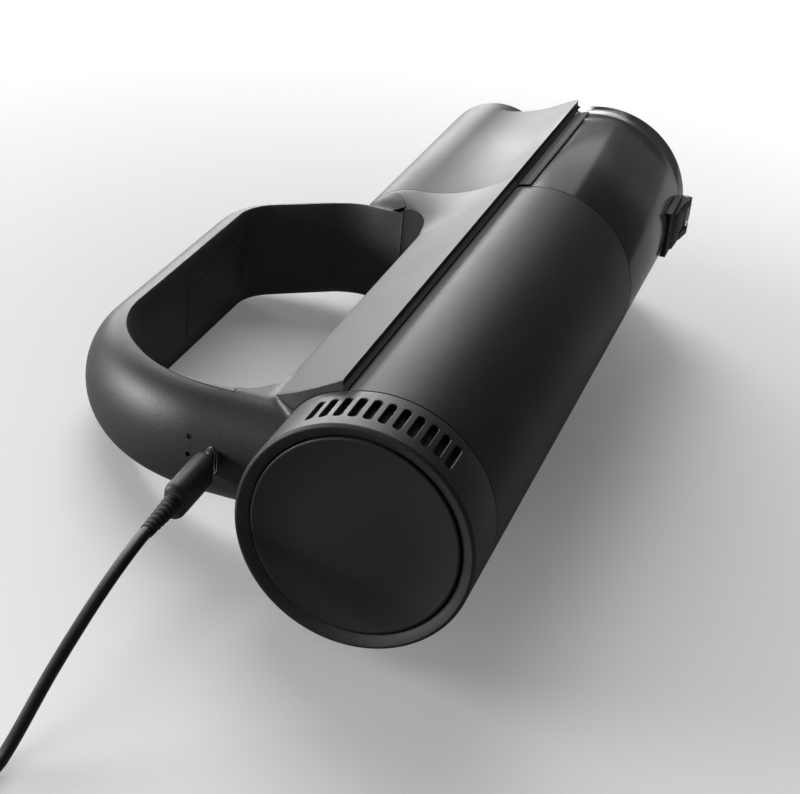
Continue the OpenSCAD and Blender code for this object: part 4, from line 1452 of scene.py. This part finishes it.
    def opening(self) -> bpy.types.Object:
        """A cutter for the room in the moulding that the lining fills."""
        return combine(prism("opening", self.liner_outline(), 1, -REACH, REACH), [self.lower(self.foot)],
                       "DIFFERENCE")

    def crowning(self, aside: np.ndarray) -> np.ndarray:
        """How far the loop's inner face lies outside its outline at distances to the side.

        It is d (1 - sqrt(1 - t^2)) - e for the crown's depth d and height e, where t runs from 0 to 1
        between the flat middle and the edge.

        Args:
            aside: the distances from the middle.

        Returns:
            A distance outwards for each.
        """
        depth, proud, flat = self.crown
        t = np.clip((np.abs(aside) - flat) / (AT.half_w - flat), 0, 1)
        return depth * (1 - np.sqrt(1 - t**2)) - proud

    def crowned(self) -> bpy.types.Object:
        """A cutter for the loop's inner face, which curves away towards both sides of the grip and the legs.

        Each point of the outline is moved out by crowning(y) times a fade that rises by 3 u^2 - 2 u^3 from
        the legs' feet upwards.

        Returns:
            The cutter.
        """
        frames = [corner_arc(self.corners, i, r, 60) for i, r in enumerate(self.radii)]
        frames.append((frames[0][0][:1], frames[0][1][:1]))
        arcs, inward = (np.concatenate([f[k] for f in frames]) for k in (0, 1))
        run = np.append(0, np.cumsum(np.linalg.norm(np.diff(arcs, axis=0), axis=1)))
        even = np.linspace(0, run[-1], 640, endpoint=False)
        flat, out = (np.stack([np.interp(even, run, v[:, k]) for k in (0, 1)], -1) for v in (arcs, -inward))
        u = np.clip((flat[:, 1] - self.fade[0]) / (self.fade[1] - self.fade[0]), 0, 1)
        middle = self.crown[2]
        aside = middle + (AT.half_w - middle) * np.sin(np.linspace(0, np.pi / 2, 20))
        aside = np.append(aside, AT.half_w + 40)
        aside = np.concatenate([-aside[::-1], aside])
        offset = self.crowning(aside)[:, None] * u**2 * (3 - 2 * u)
        rings = np.empty((len(aside), len(flat), 3))
        rings[:, :, [0, 2]] = flat + out * offset[..., None]
        rings[:, :, 1] = aside[:, None]
        return skin("crowned", rings)

    def port_cuts(self, start: float = 10.0, end: float = 32.0) -> list[bpy.types.Object]:
        """Cutters for the charging port and the three small lights, through the rear leg's outer wall.

        Args:
            start: where they start along the barrel.
            end: where they end.

        Returns:
            The cutters.
        """
        height, pitch, hole = self.lights
        port = prism("port", stadium(*self.port) + [0, AT.port_h], 0, start, end)
        return [port, *(rod("light", hole, start, end, (s * pitch, height), 32) for s in (-1, 0, 1))]

    def wells(self) -> list[bpy.types.Object]:
        """Cutters for both release buttons' wells."""
        return [self.release.well(side) for side in (-1, 1)]

    def shell(self) -> bpy.types.Object:
        """The moulding itself.

        Returns:
            The finished piece.
        """
        piece = combine(self.band(), [self.saddle(), self.flaring(), *self.foot_blocks()], "UNION")
        piece.name = "handle_shell_shown"
        remeshed(piece, self.cell, self.relaxed)
        for side in (-1, 1):
            self.release.button(side, piece)
        edge = AT.half_w + 0.6
        seam = box("seam", (AT.seam - AT.groove / 2, -80, -60), (AT.seam + 30, 80, 160))
        barrel = rod("barrel", AT.body_r + AT.fit, -10, FAR)
        cutters = [self.under(), self.wing_cut(0, 80, edge), self.wing_cut(0, -edge), seam, self.crowned(),
                   self.opening(), barrel, *self.port_cuts(), *self.wells()]
        combine(piece, cutters, "DIFFERENCE")
        return settle_in(settle(piece), "handle_shell")

    def trigger_outline(self, radius: float, room: float = 0.0) -> np.ndarray:
        """The trigger's outline about its own middle, with some room round it in all."""
        x0, x1, half = self.trigger
        return soft_rectangle(x1 - x0 + room, 2 * half + room, radius)

    @property
    def trigger_middle(self) -> tuple[float, float, float]:
        """The trigger's middle, on the barrel's axis."""
        return ((self.trigger[0] + self.trigger[1]) / 2, 0, 0)

    def lining(self) -> bpy.types.Object:
        """The darker lining inside the loop, with a crowned face and a slot for the trigger.

        Returns:
            The finished piece.
        """
        half = AT.half_w - AT.groove / 2
        piece = prism("handle_liner_shown", self.liner_outline(AT.groove / 2), 1, -half, half)
        slot = shifted(stack("slot", [self.trigger_outline(3, 0.4)] * 2, [90, 110]), self.trigger_middle)
        cutters = [self.lower(self.foot + AT.groove), self.crowned(), *self.wells(), slot]
        combine(piece, cutters, "DIFFERENCE")
        return settle_in(settle(piece), "handle_liner", Finish.LINING)

    def press(self, out: float = 0.2, thick: float = 3.6) -> bpy.types.Object:
        """The trigger: a plate with round corners, whose face follows the lining's just proud of it.

        Args:
            out: how far it stands proud.
            thick: how far it reaches into the grip.

        Returns:
            The trigger.
        """
        x0, x1, half = self.trigger
        top, wide = self.grip_inner + thick, half + 1
        piece = stack("grip_trigger_shown", [self.trigger_outline(2.8)] * 2, [self.grip_inner - 4, top])
        shifted(piece, self.trigger_middle)
        aside = np.linspace(-wide, wide, 41)
        face = np.stack([aside, self.grip_inner + self.crowning(aside) - out], -1)
        block = prism("face", np.concatenate([face, [[wide, top + 1], [-wide, top + 1]]]), 0, x0 - 1, x1 + 1)
        bevelled(combine(piece, [block], "INTERSECT"), 0.25, segments=3)
        return settle_in(settle(piece), "grip_trigger", Finish.LINING)

    def build(self) -> None:
        """Makes the moulding, its lining and the trigger."""
        self.shell()
        self.lining()
        self.press()


@dataclass
class SuctionPipe:
    """The pipe over the dust cup: flanks, a round collar standing out in front, and the nozzle socket in it.

    Fields, in millimetres: collar is how far it stands out and corner the rounding of the flanks' front
    corner; the socket fields are its radius, its height over the barrel's axis and its depth; wall is the
    duct's wall.
    """

    collar: float = 8.3
    corner: float = 9.0
    socket_r: float = 15.0
    socket_h: float = 54.4
    socket_len: float = 30.0
    wall: float = 1.6

    def corner_cut(self, nose: float) -> bpy.types.Object:
        """A cutter that rounds the flanks' lower front corner: what lies outside an arc there.

        Args:
            nose: where the flanks end along the barrel.

        Returns:
            The cutter.
        """
        x, z = nose - self.corner, AT.flange[1] + self.corner
        curve = arc([x, z], self.corner, -90, 0, 16)
        outline = np.concatenate([[[x, 0]], curve, [[nose + 5, z], [nose + 5, 0]]])
        return prism("corner", outline, 1, -REACH, REACH)

    def hollows(self) -> list[bpy.types.Object]:
        """Cutters for the bed of cup and lid, the nozzle socket, and the duct with its drop into the cup.

        Returns:
            The cutters.
        """
        x0, length, half = AT.inlet
        centre, front = (0.0, self.socket_h), AT.pipe_end
        return [rod("cup", AT.body_r + AT.fit, 100, AT.lid), rod("lid", AT.body_r + 0.8, AT.lid - 2, FAR),
                rod("socket", self.socket_r, front - self.socket_len, FAR, centre, 128),
                rod("duct", self.socket_r - self.wall, x0 + length / 2, front - 1, centre, 128),
                box("drop", (x0, -half, AT.body_r - 2), (x0 + length, half, self.socket_h))]

    def build(self) -> bpy.types.Object:
        """Makes the pipe: flanks with a rounded corner and a round collar, less all that is cut out.

        Returns:
            The finished piece.
        """
        start, nose = AT.seam + AT.groove / 2, AT.pipe_end - self.collar
        piece = prism("suction_pipe_shown", Section.whole(Section().pipe()), 0, start, nose)
        combine(piece, [self.corner_cut(nose)], "DIFFERENCE")
        combine(piece, [rod("collar", AT.pipe_r, start, AT.pipe_end, (0, AT.pipe_h), 160)], "UNION")
        combine(piece, [Handle().under(), *self.hollows()], "DIFFERENCE")
        bevelled(piece, 0.3, 40)
        return settle_in(settle(piece), "suction_pipe")


@dataclass
class DustCup:
    """The see-through cup with its inlet, and the lid in front of it.

    Fields, in millimetres: wall is the cup's; outlet_r is the radius of the cone's outlet, plug the depth of
    the lid's spigot, and seat how far the cone's end lies inside the cup. knuckle_r, knuckle_w and pin_r are
    the hinge's, whose pin stands at hinge as [along, toward]. soft gives the rounding of the small fittings,
    and finishes those that have one of their own.
    """

    wall: float = 1.8
    outlet_r: float = 8.8
    plug: float = 4.0
    seat: float = 3.0
    knuckle_r: float = 2.2
    knuckle_w: float = 8.0
    pin_r: float = 0.8
    hinge: tuple[float, float] = (290.8, -37.7)
    soft: dict[str, float] = field(default_factory=lambda: {
        "cup_rails": 0.15, "hinge_bracket": 0.35, "hinge_pin": 0.15})
    finishes: dict[str, Finish] = field(default_factory=lambda: {"cup_rails": Finish.STRIP})

    def cup(self) -> bpy.types.Object:
        """A clear tube with softened ends and the dust inlet in its side.

        Returns:
            The finished piece.
        """
        x0, x1, r = AT.cup + AT.groove / 2, AT.lid - AT.groove / 2, AT.body_r
        outline = softened([[x0, r - self.wall], [x0, r], [x1, r], [x1, r - self.wall]], 0.3)
        piece = revolved("dust_cup_shown", outline)
        x, length, half = AT.inlet
        combine(piece, [box("inlet", (x, -half, 0), (x + length, half, r + 5))], "DIFFERENCE")
        return settle_in(settle(piece), "dust_cup")

    def lid(self) -> bpy.types.Object:
        """The lid: a shallow cap with a spigot, a boss round the cone's outlet and a hinge knuckle.

        Returns:
            The finished piece.
        """
        r, inner = AT.body_r, AT.body_r - self.wall - 0.5
        rim, end, face = AT.lid + AT.groove / 2, AT.lid - self.plug, AT.front - 2.0
        cone, boss, bore = AT.lid - self.seat + AT.groove, self.outlet_r + 1.4, self.outlet_r - 1.2
        cap = [[AT.front, 0.0], [AT.front, r - 1.6], [AT.front - 1.6, r], [rim, r]]
        spigot = [[rim, inner], [end, inner], [end, inner - 2.9], [face, inner - 2.9]]
        middle = [[face, boss], [cone, boss], [cone, bore], [face, bore], [face, 0.0]]
        piece = revolved("cup_lid_shown", softened(cap + spigot + middle, 0.4))
        combine(piece, [self.knuckle()], "UNION")
        combine(piece, [self.across(self.pin_r + 0.05, 60)], "DIFFERENCE")
        return settle_in(settle(piece), "cup_lid")

    def knuckle(self) -> bpy.types.Object:
        """The hinge's knuckle with its web, cut off just inside the lid's side.

        Returns:
            The knuckle, to be joined with the lid.
        """
        x0, x1 = AT.lid + AT.groove, AT.front - 1
        z0, z1, half = self.hinge[1] - 1, 0.8 - AT.body_r, self.knuckle_w / 2
        web = prism("web", np.array([[x0, z0], [x1, z0], [x1, z1], [x0, z1]]), 1, -half, half)
        piece = combine(self.across(self.knuckle_r, self.knuckle_w), [web], "UNION")
        return combine(piece, [rod("round", AT.body_r - 0.4, AT.lid - 5, AT.front + 5)], "DIFFERENCE")

    def across(self, radius: float, width: float) -> bpy.types.Object:
        """A rod across the hinge."""
        return prism("across", arc(self.hinge, radius, 0, 354, 59), 1, -width / 2, width / 2)

    def build(self) -> None:
        """Makes the cup, the lid, and softened copies of the strips, hinge and pin."""
        self.cup()
        self.lid()
        for node, width in self.soft.items():
            settle_in(copied(node, width), node, self.finishes.get(node))


@dataclass
class ChargingLead:
    """The lead from its plug in the port to the charger's plug, with the spare length wound into a coil.

    Fields, in millimetres and degrees: diameter is the lead's; start and boot are the places along the
    barrel where the lead leaves its boot and the boot its grip. route and tail are points of the lead before
    and after the coil, along from the rear rim, across from the barrel's axis and up from the floor. The
    coil is wound about centre: from the angle enter, at radius way_in and height lying, each turn is
    (radius, height, angles between which they are reached), up to the angle leave.
    """

    diameter: float = 3.5
    start: float = -20.5
    boot: float = -4.5
    route: tuple[Point, ...] = (
        (-23.5, 50.43, 27.64), (-31, 50.4, 26.6), (-37, 50.4, 25.2), (-43, 50.4, 23.4), (-50, 50.4, 20.8),
        (-57, 50.3, 18), (-64, 50.2, 14.8), (-71, 50, 11.4), (-78, 49.6, 8), (-84, 49.2, 5.2),
        (-90, 48.8, 3.1), (-95, 48.6, 2.2), (-100, 49.2, 1.9), (-106, 50.6, 1.8), (-112, 53, 1.8),
        (-118, 56.6, 1.8))
    centre: tuple[float, float] = (-148.0, 47.0)
    enter: float = 36.0
    way_in: float = 27.8
    lying: float = 1.8
    turns: tuple[tuple[float, float, float, float], ...] = (
        (24, 1.8, 80, 150), (20.5, 1.8, 455, 500), (17, 1.8, 815, 860), (18.75, 4.85, 1120, 1212),
        (22.25, 4.85, 1490, 1560), (20.5, 7.9, 1850, 1925))
    leave: float = 2340.0
    tail: tuple[Point, ...] = (
        (-168.9, 43, 7.7), (-169.8, 39, 6.8), (-171, 35, 5.4), (-172, 30.5, 4.3), (-172.4, 26, 3.8),
        (-172.2, 21.5, 3.8), (-170.4, 17.2, 3.8), (-166.8, 14.3, 3.8), (-163, 13.6, 3.8),
        (-160.5, 13.55, 3.8))

    def coil(self, step: float = 4.0) -> np.ndarray:
        """The coil's centre line: radius and height pass from turn to turn by s = u^2 (3 - 2 u).

        Where it climbs onto the turn below, it rises in the first two thirds of the way and moves sideways
        in the last two thirds.

        Args:
            step: the angle between two points, in degrees.

        Returns:
            Points along from the rim, across from the axis and up from the floor.
        """
        angle = np.arange(self.enter, self.leave + 1, step)
        radius, height = np.full_like(angle, self.way_in), np.full_like(angle, self.lying)
        was_r, was_z = self.way_in, self.lying
        for r, z, a0, a1 in self.turns:
            u = np.clip((angle - a0) / (a1 - a0), 0, 1)
            early, late = (np.clip(u * 1.5 - k, 0, 1) if z > was_z else u for k in (0.0, 0.5))
            radius += (r - was_r) * late**2 * (3 - 2 * late)
            height += (z - was_z) * early**2 * (3 - 2 * early)
            was_r, was_z = r, z
        a, (x, y) = np.radians(angle), self.centre
        return np.stack([x + radius * np.cos(a), y + radius * np.sin(a), height], -1)

    def path(self) -> np.ndarray:
        """The lead's whole centre line in the row frame, in metres; it begins just inside the boot.

        Returns:
            An array (n, 3).
        """
        port = LIE.place([self.start + 0.1, 0, AT.port_h])
        first = (port - LIE.on_floor([0, 0, 0])) / MM
        return LIE.on_floor(along_curve(np.concatenate([[first], self.route, self.coil(), self.tail])))

    def lead(self, pieces: Sequence[bpy.types.Object]) -> bpy.types.Object:
        """The lead itself: a round tube along its path, which stands for the lead and its coil.

        Args:
            pieces: the pieces that lie with the lead's far end; not used.

        Returns:
            The lead.
        """
        path = self.path()
        piece = tube("lead_shown", path, self.diameter / 2 * MM)
        smooth(piece, math.radians(60))
        settle_in(piece, "lead", Finish.JACKET, also=["lead_coil"])
        return piece

    @staticmethod
    def grip(name: str, size: Sequence[float], along: np.ndarray, less: Sequence[float]) -> bpy.types.Object:
        """An overmoulded grip with soft ends: stadium sections, each smaller than the full size by less.

        Args:
            name: name of the piece.
            size: width and height of the full section.
            along: the sections' places along the barrel.
            less: how much smaller each section is.

        Returns:
            The grip, about the barrel's axis.
        """
        return stack(name, [stadium(size[0] - s, size[1] - s) for s in less], along, 0)

    def plug(self) -> None:
        """The plug in the port: metal shell, overmoulded grip with soft edges, and ribbed, tapered boot."""
        settle_in(copied("usb_plug_shell", 0.12), "usb_plug_shell")
        x = np.array([0, 0.5, 1.3, 2.4, 12.0, 19.6, 20.9, 21.6, 21.95])
        less = [2.2, 1.0, 0.35, 0.0, 0.0, 0.0, 0.3, 0.9, 1.8]
        grip = shifted(self.grip("plug_grip_shown", (11.6, 6.4), self.boot + x, less), (0, 0, AT.port_h))
        settle_in(settle(grip, WIDE_CREASE), "plug_grip", Finish.TRIM)
        settle_in(settle(self.strain_relief()), "plug_boot")

    def strain_relief(self, ribs: int = 7, root_r: float = 2.85, groove: float = 0.45) -> bpy.types.Object:
        """The boot: a taper from the grip to the lead, with round ribs.

        Its radius is root_r - 0.85 u - groove sin(pi n u)^2 for n ribs, with u from 0 to 1 along it; both
        ends stay plain.

        Args:
            ribs: how many ribs it has.
            root_r: its radius at the grip.
            groove: how deep the grooves between the ribs are.

        Returns:
            The boot.
        """
        run = np.linspace(0, 1, 113)
        start = self.boot - 0.05
        x = start - run * (start - self.start)
        taper = root_r - 0.85 * run
        r = taper - groove * (np.sin(np.pi * ribs * run)**2) * (run < 0.93) * (run > 0.02)
        profile = np.concatenate([[[x[0], 0.0]], np.stack([x, r], -1), [[x[-1], 0.0]]])
        return shifted(revolved("plug_boot_shown", profile, 48), (0, 0, AT.port_h))

    def charger_end(self) -> list[bpy.types.Object]:
        """The charger's plug beside the coil, and a soft band round the coil.

        Returns:
            The plug's grip and shell, and the band.
        """
        shell = settle_in(copied("charger_plug_shell", 0.2), "charger_plug_shell")
        low, high = (np.array(c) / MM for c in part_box("charger_plug_grip"))
        length, width, height = high - low
        x = np.array([0, 0.5, 1.3, 2.4, length - 2.0, length - 1.0, length - 0.35, length])
        less = [3.0, 1.4, 0.5, 0.0, 0.0, 0.25, 0.8, 1.7]
        grip = self.grip("charger_plug_grip_shown", (width, height), low[0] + x, less)
        turn_to(shifted(grip, [0, *((low + high) / 2)[1:]]), Matrix.Scale(MM, 4))
        smooth(grip, WIDE_CREASE)
        settle_in(grip, "charger_plug_grip", Finish.TRIM)
        return [grip, shell, self.tie()]

    def tie(self, at: float = 300.0, wide: float = 6.0, thick: float = 0.35) -> bpy.types.Object:
        """The band round the coil: a thin strip along a rounded outline in the plane across the turns.

        Args:
            at: the angle round the coil at which it sits.
            wide: the strip's width.
            thick: its thickness.

        Returns:
            The band.
        """
        corners = [[14.9, 0.02], [26.2, 0.02], [26.2, 4.6], [22.6, 9.95], [18.4, 9.95], [14.9, 4.2]]
        outline = rounded(np.array(corners), [1.6, 1.6, 2.0, 2.0, 2.0, 1.6], 10)
        inner = outline + unit_rows(outline.mean(0) - outline) * thick
        flat = np.concatenate([outline, outline[:1], inner[:1], inner[::-1]])
        piece = prism("lead_tie", flat, 1, -wide / 2, wide / 2)
        merge(piece, 1e-3)
        face_out(piece)
        turn = Matrix.Rotation(math.radians(at), 4, "Z")
        piece.data.transform(Matrix.Translation([*self.centre, 0]) @ turn)
        move_vertices(piece, LIE.on_floor(vertices(piece)))
        smooth(piece)
        dress(piece, Finish.RUBBER.material())
        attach(piece, "charging_lead")
        return piece

    def build(self) -> None:
        """Makes the plug, the lead with its coil and the charger's plug."""
        self.plug()
        self.lead(self.charger_end())


@dataclass
class Inside:
    """Pieces inside the shells: the CAD nodes, some with softened edges.

    Fields: soft gives the rounding, in millimetres, of the nodes that are softened; finishes those that have
    another finish than their slot's.
    """

    soft: dict[str, float] = field(default_factory=lambda: {
        "usb_socket": 0.08, "cyclone_cage": 0.12, "fan_wheel": 0.1, "motor_can": 0.2})
    finishes: dict[str, Finish] = field(default_factory=lambda: {
        "mesh_sleeve": Finish.STEEL, "usb_socket": Finish.PLATED, "trigger_spring": Finish.STEEL})

    def build(self) -> None:
        """Copies some nodes with softened edges, and dresses all the others as they are."""
        for node, width in self.soft.items():
            settle_in(copied(node, width), node, self.finishes.get(node))
        for node, piece in frame["nodes"].items():
            if not piece.hide_render:
                dress(piece, self.finishes.get(node, SLOT_FINISHES[NODE_SLOTS[node]]).material())
                LOG.info("%s keeps its CAD shape", node)


# ------------------------------------------------------------------------------------------------- studio


@dataclass(frozen=True)
class Lamp:
    """A soft rectangular light turned to the vacuum.

    Fields: azimuth is its bearing in degrees, from the barrel's axis towards the handle, and height its
    elevation; far is its distance and size its width and height, in metres; power is in watts.
    """

    name: str
    azimuth: float
    height: float
    far: float
    size: tuple[float, float]
    power: float

    def build(self) -> None:
        """Hangs the lamp."""
        data = bpy.data.lights.new(self.name, "AREA")
        data.shape = "RECTANGLE"
        data.size, data.size_y = self.size
        data.energy = self.power
        a, b = math.radians(self.azimuth), math.radians(self.height)
        back = np.array([math.cos(a) * math.cos(b), math.sin(a) * math.cos(b), math.sin(b)])
        side = unit(np.cross([0.0, 0.0, 1.0], back))
        stand(linked(self.name, data), [side, np.cross(back, side), back], back * self.far + [0, 0, 0.03])


def stand(piece: bpy.types.Object, axes: Sequence[np.ndarray], where: np.ndarray) -> None:
    """Turns a camera or lamp and puts it in its place in the studio.

    Args:
        piece: the camera or lamp.
        axes: unit vectors for its own right, up and back.
        where: its place in metres.
    """
    matrix = Matrix(np.stack(axes, -1).tolist()).to_4x4()
    matrix.translation = where.tolist()
    piece.matrix_world = matrix


@dataclass
class Studio:
    """Floor, light and camera.

    Fields: eye is the camera's place on the vacuum's axes in millimetres; ahead and right are its directions
    on the same axes; lens is its focal length on a sensor of the given width, all in millimetres. lift is
    the floor's painted glow near the vacuum, and lift_far its painted glow further away, between the two
    distances near_far in metres, both only where the camera sees the floor itself: painted light that leaves
    the floor darker near the vacuum and brighter away from it. bounce is the floor's grey for all other
    rays, which sets how much light it throws back on the vacuum. surround is the strength of the even light
    from all round, and lamps are the soft lights.
    """

    eye: Point = (-397.90, -262.87, -123.56)
    ahead: Point = (0.85199, 0.463, 0.244)
    right: Point = (0.3174, -0.086, -0.944)
    lens: float = 81.146
    sensor: float = 36
    floor_half: float = 4.0
    lift: float = 0.12
    lift_far: float = 0.6
    near_far: tuple[float, float] = (0.06, 0.55)
    bounce: float = 0.5
    surround: float = 0.08
    lamps: tuple[Lamp, ...] = (
        Lamp("key", azimuth=43, height=42, far=1.6, size=(1.1, 1.0), power=14.0),
        Lamp("rim", azimuth=39, height=5, far=3.0, size=(2.4, 0.35), power=46.0),
        Lamp("panel", azimuth=24, height=30, far=3.0, size=(2.0, 1.6), power=8.0),
        Lamp("side", azimuth=114, height=6, far=1.3, size=(0.7, 0.22), power=20.0))

    def camera(self) -> None:
        """Puts the camera in its place."""
        data = bpy.data.cameras.new("camera")
        data.lens = self.lens
        data.sensor_width = self.sensor
        data.clip_start = 0.01
        axes = np.stack([LIE.along, LIE.side, LIE.toward], -1)
        ahead = unit(axes @ np.array(self.ahead))
        right = unit(axes @ np.array(self.right))
        right = unit(right - ahead * (right @ ahead))
        piece = linked("camera", data)
        stand(piece, [right, np.cross(right, ahead), -ahead], LIE.place(np.array(self.eye)))
        bpy.context.scene.camera = piece

    def floor(self) -> None:
        """A pale, faintly uneven floor with painted light: a glow that only the camera sees, faint near the
        vacuum and stronger further away.
        """
        square = np.array([[-1, -1, 0], [1, -1, 0], [1, 1, 0], [-1, 1, 0]])
        piece = mesh_piece("floor", self.floor_half * square, [[0, 1, 2, 3]])
        recipe = Recipe("floor_paper")
        paper = recipe.shade(recipe.noise(180.0, 2.0), 1.0, 0.8, 0.83)
        seen = recipe.node("ShaderNodeLightPath", {}, {}, "Is Camera Ray")
        shade = recipe.blend(seen, grey(self.bounce), paper)
        length = {"operation": "LENGTH"}
        away = recipe.node("ShaderNodeVectorMath", length, {"Vector": recipe.place()}, "Value")
        # painted light: the floor glows for the camera only, faintly near the vacuum where its shadow falls
        # and more strongly further away
        glow = recipe.shade(away.clamped(*self.near_far), 1.0, self.lift, self.lift_far)
        dress(piece, recipe.finish(Base_Color=shade, Roughness=0.75, Emission_Strength=1.0,
                                   Emission_Color=recipe.blend(seen, grey(0.0), glow)))

    def world(self) -> None:
        """An even pale surround."""
        world = bpy.data.worlds.new("studio")
        world.use_nodes = True
        background = world.node_tree.nodes["Background"]
        background.inputs["Color"].default_value = grey(1.0)
        background.inputs["Strength"].default_value = self.surround
        bpy.context.scene.world = world

    def build(self) -> None:
        """Sets up the whole studio."""
        bpy.context.scene.view_settings.view_transform = "Standard"
        self.floor()
        self.camera()
        self.world()
        for lamp in self.lamps:
            lamp.build()


def main() -> None:
    """Builds the studio and every piece."""
    logging.basicConfig(level=logging.INFO, format="%(message)s")
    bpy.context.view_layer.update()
    Studio().build()
    ChargingLead().build()
    for group in (RearCap(), Barrel(), Handle(), SuctionPipe(), DustCup(), Inside()):
        group.build()


if __name__ == "__main__":
    main()
